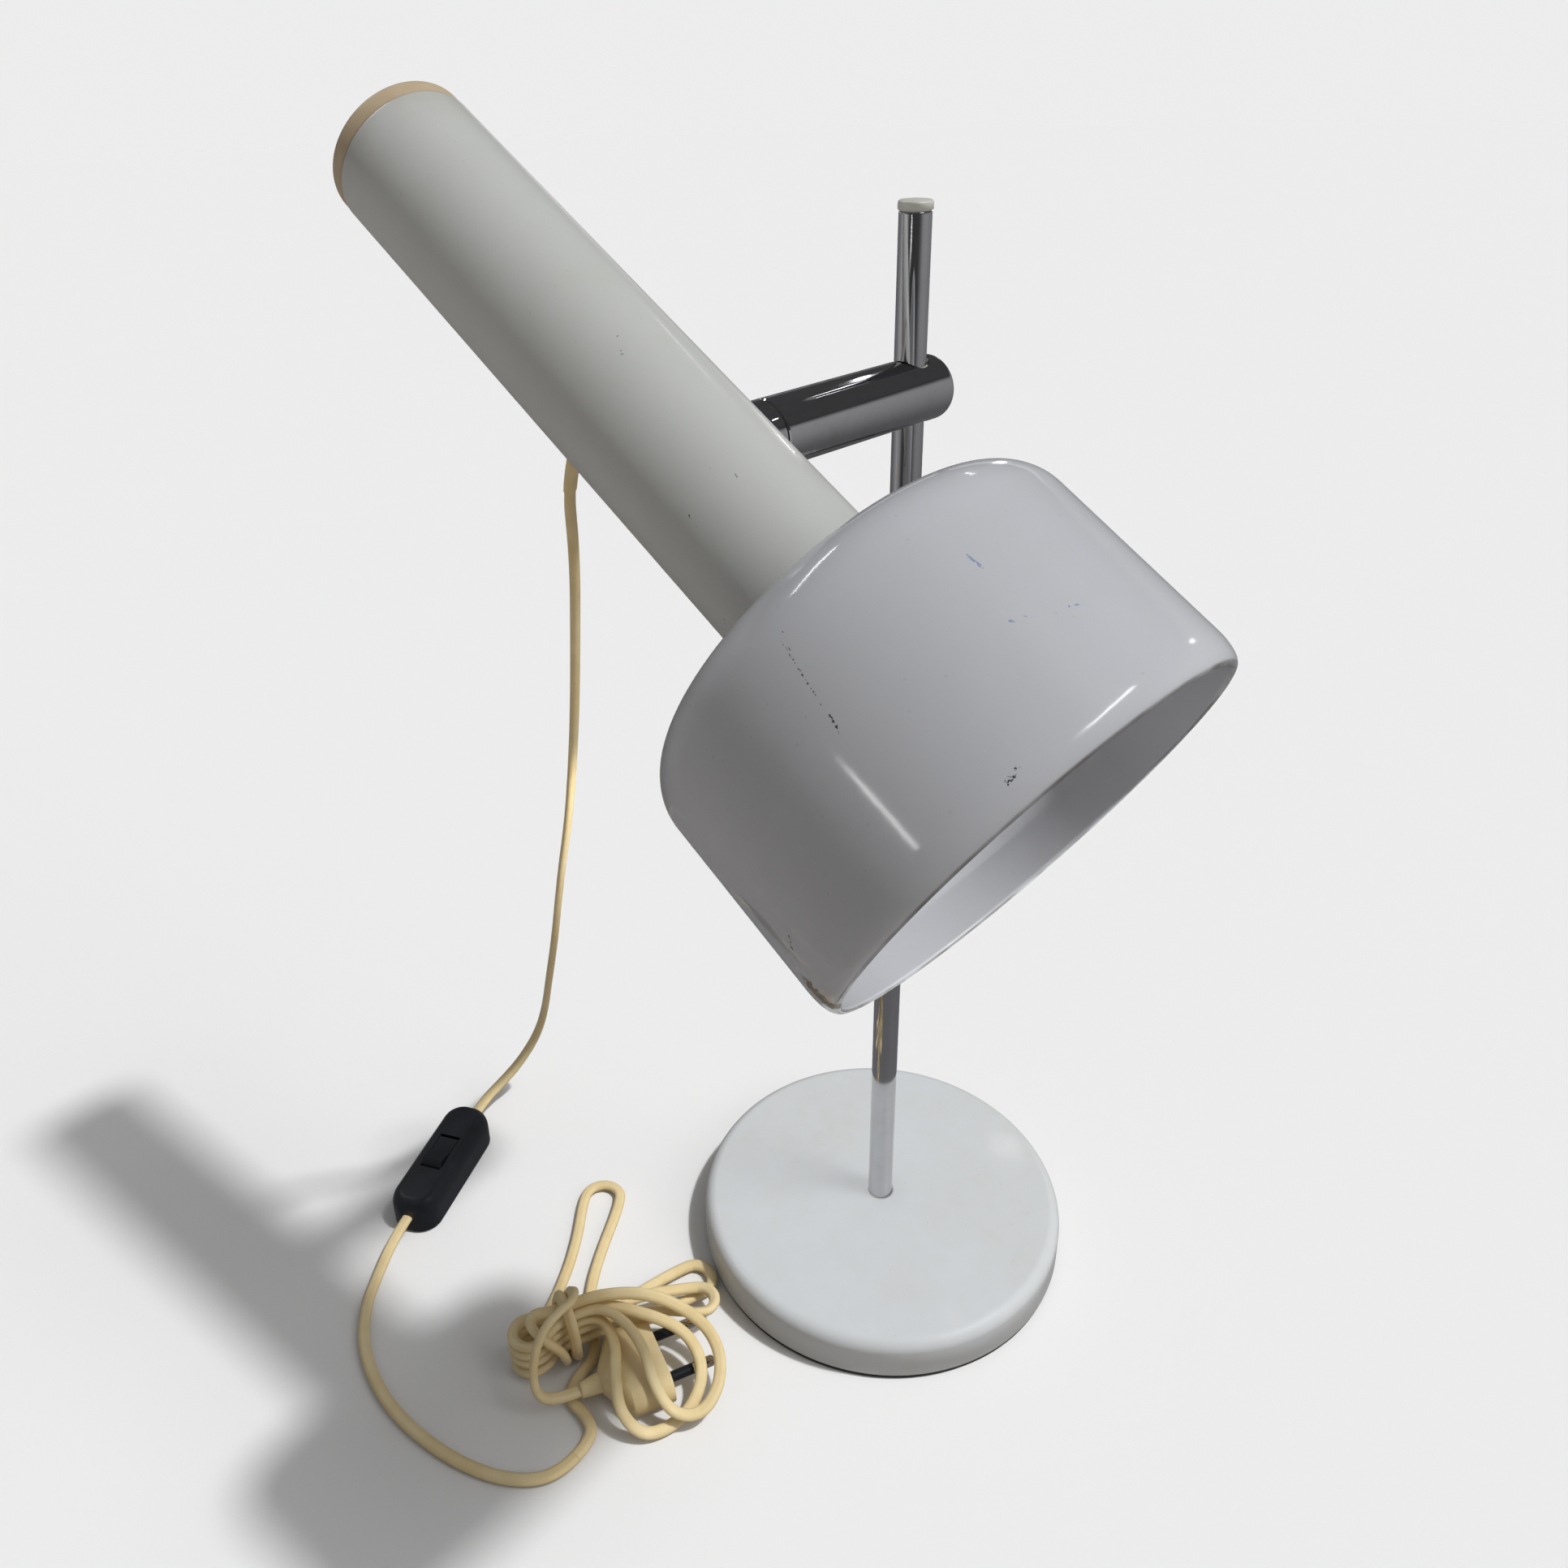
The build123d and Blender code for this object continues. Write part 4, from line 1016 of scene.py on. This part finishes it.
CHROME = metal("chrome", (0.58, 0.58, 0.595), 0.06, 0.05, (90.0, 90.0, 8.0), (0.47, 0.455, 0.43), 0.1)
SATIN = metal(
    "satin_plate", (0.80, 0.80, 0.74), 0.42, 0.08, (60.0, 60.0, 20.0), (0.62, 0.61, 0.54), 0.3, metallic=0.35
)
ZINC = metal("zinc_plate", (0.50, 0.50, 0.48), 0.32, 0.15, EVEN, (0.36, 0.35, 0.31), 0.3, 0.15)
NICKEL = metal("nickel_pins", (0.66, 0.64, 0.60), 0.16, 0.08, EVEN, (0.4, 0.37, 0.33), 0.2)
BRASS = metal("bright_brass", (0.62, 0.50, 0.30), 0.26, 0.12, EVEN, (0.36, 0.27, 0.14), 0.35, 0.1)
IRON = metal("cast_iron", (0.10, 0.10, 0.105), 0.62, 0.15, (20.0, 20.0, 20.0), (0.07, 0.05, 0.04), 0.4, 0.9)

# %% [markdown]
# ## Plastics, rubber and glass
# The flex is aged vinyl: cream, with a yellower tone in soft clouds and a slightly waxy skin.
# The switch is black moulded plastic with a fine spark texture. The bulb is opal glass that lets light through.

# %% Plastics
def moulded(name, colour, aged, roughness, grain=700.0, relief=0.12, skin=0.0, specks=0.25):
    """Moulded or extruded plastic: two tones in clouds, dust specks, a fine moulded grain."""
    settings = {"Subsurface_Weight": skin, "Subsurface_Radius": (0.002, 0.0014, 0.0008), "Subsurface_Scale": 1.0}
    material, tree, shader = new_finish(name, IOR=1.48, **(settings if skin else {}))
    at = object_place(tree)
    tone = shared(tree, CLOUDS, Place=at, Scale=38.0)
    paint = blend_colour(tree, maths(tree, "MULTIPLY_ADD*", tone, 2.4, 0.4), colour, aged)
    mask = shared(tree, SPECKS, Place=at, Scale=520.0, Radius=0.2, Share=0.08)
    dust = tuple(0.55 * c + 0.12 for c in aged)
    paint = blend_colour(tree, maths(tree, "MULTIPLY", mask, specks), paint, dust)
    rough = maths(tree, "MULTIPLY_ADD", tone, 0.2, roughness)
    wire(tree, shader, paint, rough, noise(tree, at, grain, 2.0), relief)
    return material


FLEX = moulded("aged_flex", (0.82, 0.68, 0.40), (0.74, 0.575, 0.29), 0.40, 380.0, 0.10, skin=0.05)
CREAM = moulded("cream_cap", (0.50, 0.40, 0.275), (0.43, 0.33, 0.215), 0.45, 500.0)
BLACK = moulded("black_moulding", (0.008, 0.010, 0.014), (0.014, 0.017, 0.022), 0.40, 1100.0, 0.25, specks=0.10)
PHENOLIC = moulded("black_phenolic", (0.014, 0.012, 0.011), (0.03, 0.025, 0.02), 0.22, 300.0, 0.05, specks=0.3)
RUBBER = moulded("black_rubber", (0.025, 0.025, 0.025), (0.045, 0.043, 0.04), 0.75, 900.0, 0.4)
NYLON = moulded("natural_nylon", (0.66, 0.64, 0.56), (0.58, 0.54, 0.44), 0.42, skin=0.1)
CERAMIC = moulded("glazed_ceramic", (0.78, 0.77, 0.73), (0.70, 0.68, 0.62), 0.14, relief=0.03)
WASHER = moulded("dark_washer", (0.03, 0.03, 0.03), (0.05, 0.05, 0.05), 0.6)


def opal_glass():
    """Opal glass: a white body that scatters light, slightly warmer in clouds, with a polished skin."""
    material, tree, shader = new_finish(
        "opal_glass", Roughness=0.12, IOR=1.5, Coat_Weight=0.3, Subsurface_Weight=0.35,
        Subsurface_Radius=(0.006, 0.006, 0.005),
    )
    at = object_place(tree)
    warmth = maths(tree, "MULTIPLY_ADD*", shared(tree, CLOUDS, Place=at, Scale=30.0), 1.5, 0.3)
    paint = blend_colour(tree, warmth, (0.84, 0.84, 0.82), (0.78, 0.77, 0.72))
    wire(tree, shader, paint, None, noise(tree, at, 160.0, 1.0), 0.05)
    return material


OPAL = opal_glass()

# %% Finishes given out
SLOT_FINISH = {
    "cast_iron": IRON, "black_rubber": RUBBER, "zinc_steel": ZINC, "dark_washer": WASHER, "brass": NICKEL,
    "black_phenolic": PHENOLIC, "black_plastic": BLACK,
}
WORN = [
    (FLEX, [*flex_pieces, relief, floor_flex, knot_flex, plug]), (CHROME, [stem, bar, collar]),
    (SATIN, [stem_cap]), (NYLON, [liner]), (CREAM, [rear]), (OPAL, [bulb]), (BRASS, [bulb_cap]),
    (BLACK, [cushion]), *((SLOT_FINISH[slot], [copies[node]]) for node, _, _, slot in COPIES),
]
for finish, pieces in WORN:
    for piece in pieces:
        wear(piece, finish)
CARRIED = [
    (NYLON, ["bracket_end_bush", "cord_clamp"]), (BRASS, ["friction_plunger"]), (RUBBER, ["friction_buffer"]),
    (CERAMIC, ["lampholder_insert"]), (FLEX, ["inner_leads"]),
    (ZINC, [
        "stem_washer", "stem_nut", "spring_seat", "tilt_spring_washer", "tilt_nut", "tilt_saddle", "tilt_stud",
        "holder_nipple", "holder_locknut", "switch_pin", "switch_screw_a", "switch_screw_b",
    ]),
]
for finish, nodes in CARRIED:
    for carried in (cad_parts[node] for node in nodes):
        if not carried.material_slots:
            carried.data.materials.append(finish)
        for carried_slot in carried.material_slots:
            carried_slot.material = finish
print(sum(len(nodes) for _, nodes in CARRIED), "source parts carry their own finish")

# %% [markdown]
# ## Floor and cards
# The lamp stands on a plain pale floor. The floor looks pale to the camera and in reflections, but it throws
# back less light, as the darker room of the photograph did.
#
# Chrome and enamel show what stands round them, as under a photographer's cards. Three cards are seen in
# reflections alone. A dark dome hangs overhead. A surround of greys changes with the bearing, so the arm and
# the stem get their dark and bright stripes. A ring on the floor keeps the floor's reflection grey.

# %% Floor
PALE, BOUNCED = (0.842, 0.842, 0.842), (0.49, 0.455, 0.415)
ROOM_LIGHT = 0.225


def seen_factor(tree):
    """1 for camera, glossy and transmission rays, else 0."""
    path = tree.nodes.new("ShaderNodeLightPath").outputs
    mirrored = maths(tree, "MAXIMUM", path["Is Glossy Ray"], path["Is Transmission Ray"])
    return maths(tree, "MAXIMUM", path["Is Camera Ray"], mirrored)


def open_piece(name, grid):
    """An open sheet from a grid of rings."""
    return mesh_piece(name, grid.reshape(-1, 3), grid_faces(*grid.shape[:2]))


floor = open_piece("floor", spun(np.r_[0.0, np.geomspace(0.05, 7.0, 24)][:, None], -0.00005, 96))
weld(floor.data)
floor_paint, tree, shader = new_finish("floor_paint", Roughness=0.9, Specular_IOR_Level=0.0)
tree.links.new(blend_colour(tree, seen_factor(tree), BOUNCED, PALE), shader.inputs["Base Color"])
wear(floor, floor_paint)

world = bpy.data.worlds.new("studio")
bpy.context.scene.world = world
world.use_nodes = True
tree = world.node_tree
tree.nodes.clear()
level = blend_colour(tree, seen_factor(tree), (ROOM_LIGHT,) * 3, PALE)
background = add_node(tree, "ShaderNodeBackground", Color=level)
add_node(tree, "ShaderNodeOutputWorld", Surface=background.outputs[0])

# %% Cards
CARD_R, CARD_TALL, CARD_DIP = 0.30, 0.495, 0.43
DOME_R, DOME_LOW = 3.2, 17.0
SHADOWED_GREY, FLOOR_GREY = 0.028, 0.14
ROUND_GREYS = [
    (0, 0.25), (20, 0.22), (45, 0.12), (80, 0.16), (100, 0.20), (112, 0.27), (139, 0.50), (164, 0.30),
    (180, 0.06), (195, 0.03), (245, 0.04), (257, 0.10), (276, 0.30), (300, 0.34), (329, 0.30), (345, 0.26),
    (360, 0.25),
]


def dome_card():
    """Part of a sphere round the lamp, from one elevation e to the top: radius r cos e, height r sin e."""
    e = np.radians(np.linspace(DOME_LOW, 90.0, 18))[:, None]
    piece = open_piece("dark_card", spun(DOME_R * np.cos(e), DOME_R * np.sin(e), 72))
    weld(piece.data)
    return piece


def surround_card():
    """An upright cylinder round the lamp; its top dips behind the stem, round a bearing of 50 degrees."""
    behind = np.clip((np.cos(ring_angles(180) - math.radians(50)) - 0.45) / 0.2, 0, 1)
    top = CARD_TALL - (CARD_TALL - CARD_DIP) * behind
    return open_piece("surround_card", spun(CARD_R, 0.002 + (top - 0.002) * np.linspace(0, 1, 6)[:, None], 180))


def ring_card():
    """A flat ring on the floor from the foot to the surround."""
    return open_piece("ring_card", spun(np.linspace(BASE_R + 0.0003, CARD_R, 4)[:, None], 0.0003, 180))


def card_finish(name, grey):
    """A grey that shows by its own glow, whatever light falls on the card: material, tree and shader."""
    glow = (grey, grey, 1.05 * grey)
    return new_finish(name, Base_Color=(0.02, 0.02, 0.022), Emission_Color=glow, Emission_Strength=1.0)


def surround_finish():
    """Greys set by the bearing a = atan2(y, x) round the stem, dimmer near the floor, dark above 0.46 m."""
    paint, tree, shader = card_finish("surround_paint", SHADOWED_GREY)
    at = add_node(tree, "ShaderNodeSeparateXYZ", Vector=object_place(tree)).outputs
    turn = maths(tree, "DIVIDE", maths(tree, "ARCTAN2", at["Y"], at["X"]), 2 * math.pi)
    ramp = add_node(tree, "ShaderNodeValToRGB", Fac=maths(tree, "FRACT", maths(tree, "ADD", turn, 1.0)))
    stops = ramp.color_ramp.elements
    while len(stops) < len(ROUND_GREYS):
        stops.new(0.5)
    for stop, (bearing, grey) in zip(stops, ROUND_GREYS):
        stop.position = bearing / 360
        stop.color = (grey, grey, 1.03 * grey, 1)
    near_floor = maths(tree, "MULTIPLY_ADD", step_range(tree, at["Z"], 0.05, 0.44), 0.6, 0.4)
    dark = (SHADOWED_GREY, SHADOWED_GREY, 1.05 * SHADOWED_GREY)
    glow = blend_colour(
        tree, step_range(tree, at["Z"], 0.43, 0.49), scaled(tree, ramp.outputs["Color"], near_floor), dark
    )
    tree.links.new(glow, shader.inputs["Emission Color"])
    return paint


CARDS = [
    (dome_card(), card_finish("dark_card_paint", SHADOWED_GREY)[0]), (surround_card(), surround_finish()),
    (ring_card(), card_finish("ring_card_paint", FLOOR_GREY)[0]),
]
for card, paint in CARDS:
    wear(card, paint)
    for rays in ("camera", "diffuse", "shadow", "transmission"):
        setattr(card, "visible_" + rays, False)
print("cards", [card.name for card, _ in CARDS])

# %% [markdown]
# ## Lights
# Two suns from one bearing are the key light, and a third, wide one fills from the front. The stem is left out
# of the narrow sun's shadow, so it throws only a faint soft wedge, as in the photograph. A spot lights the
# inside of the shade through its mouth. The small rectangular lamps light nothing but reflections: each puts
# one highlight of the photograph in its place, found by the pixel where it is seen.

# %% Lights
def hang_lamp(kind, name, azimuth, elevation, distance, target, hidden_from, long_way=None, **settings):
    """A lamp facing its target from a bearing; long_way is the direction along which its width lies."""
    data = bpy.data.lights.new(name, kind)
    for key, value in settings.items():
        setattr(data, key, value)
    a, e = math.radians(azimuth), math.radians(elevation)
    z = Vector((math.cos(e) * math.cos(a), math.cos(e) * math.sin(a), math.sin(e)))
    turn = z.to_track_quat("Z", "Y").to_matrix().to_4x4()
    if long_way is not None:
        x = (long_way - z * z.dot(long_way)).normalized()
        turn = turn_from(x, z.cross(x), z)
    lamp = add_object(name, data, Matrix.Translation(Vector(target) + z * distance) @ turn)
    for rays in hidden_from:
        setattr(lamp, "visible_" + rays, False)
    return lamp


SUNS = [("key", -56, 62, 3.6, 2.03), ("key_wide", -56, 62, 18, 0.45), ("front_fill", -70, 35, 30, 0.42)]
suns = {}
for name, azimuth, elevation, angle, energy in SUNS:
    suns[name] = hang_lamp(
        "SUN", name, azimuth, elevation, 0.0, (0, 0, 0), ["glossy"], angle=math.radians(angle), energy=energy
    )
thin_things = bpy.data.collections.new("thin_things")
thin_things.objects.link(stem)
thin_things.collection_objects[0].light_linking.link_state = "EXCLUDE"
suns["key"].light_linking.blocker_collection = thin_things

SPOT_FROM, SPOT_REACH, SPOT_PIXEL = 0.9, 0.055, (1137, 1147)
hang_lamp(
    "SPOT", "mouth_spot", -80, 8, SPOT_FROM, seen_on(shade, SPOT_PIXEL), ["glossy", "camera"], energy=92.0,
    shadow_soft_size=0.06, spot_size=2 * math.atan(SPOT_REACH / SPOT_FROM), spot_blend=0.6,
)
STREAK_SHIFT = HEAD_AXIS * 0.001
# Name, azimuth, elevation, distance, width, height, power, the piece and pixel it faces, shift and long way
HIGHLIGHTS = [
    ("lip_strip", -72, 50, 2.2, 1.35, 0.10, 6.0, shade, (1362, 872), None, None),
    ("side_window", 174, 12, 0.2, 0.040, 0.0030, 0.014, shade, (1090, 1000), -STREAK_SHIFT, HEAD_AXIS),
    ("shoulder_strip", 98, 42, 2.0, 0.9, 0.10, 3.0, shade, (1010, 700), None, None),
    ("shoulder_glint", 30, 8, 0.6, 0.03, 0.02, 0.05, shade, (1236, 569), None, None),
    ("lip_glint", -4, 16, 0.5, 0.010, 0.004, 0.022, shade, (1472, 786), None, None),
    ("bar_glint", 25, 35.5, 0.6, 0.10, 0.008, 0.026, bar, (1066, 467), None, Vector((0.0, -0.86, 0.51))),
]
for name, azimuth, elevation, distance, width, height, power, piece, pixel, shift, long_way in HIGHLIGHTS:
    hang_lamp(
        "AREA", name, azimuth, elevation, distance, Vector(seen_on(piece, pixel)) + (shift or Vector()),
        ["diffuse", "camera"], long_way, shape="RECTANGLE", size=width, size_y=height, energy=power,
    )
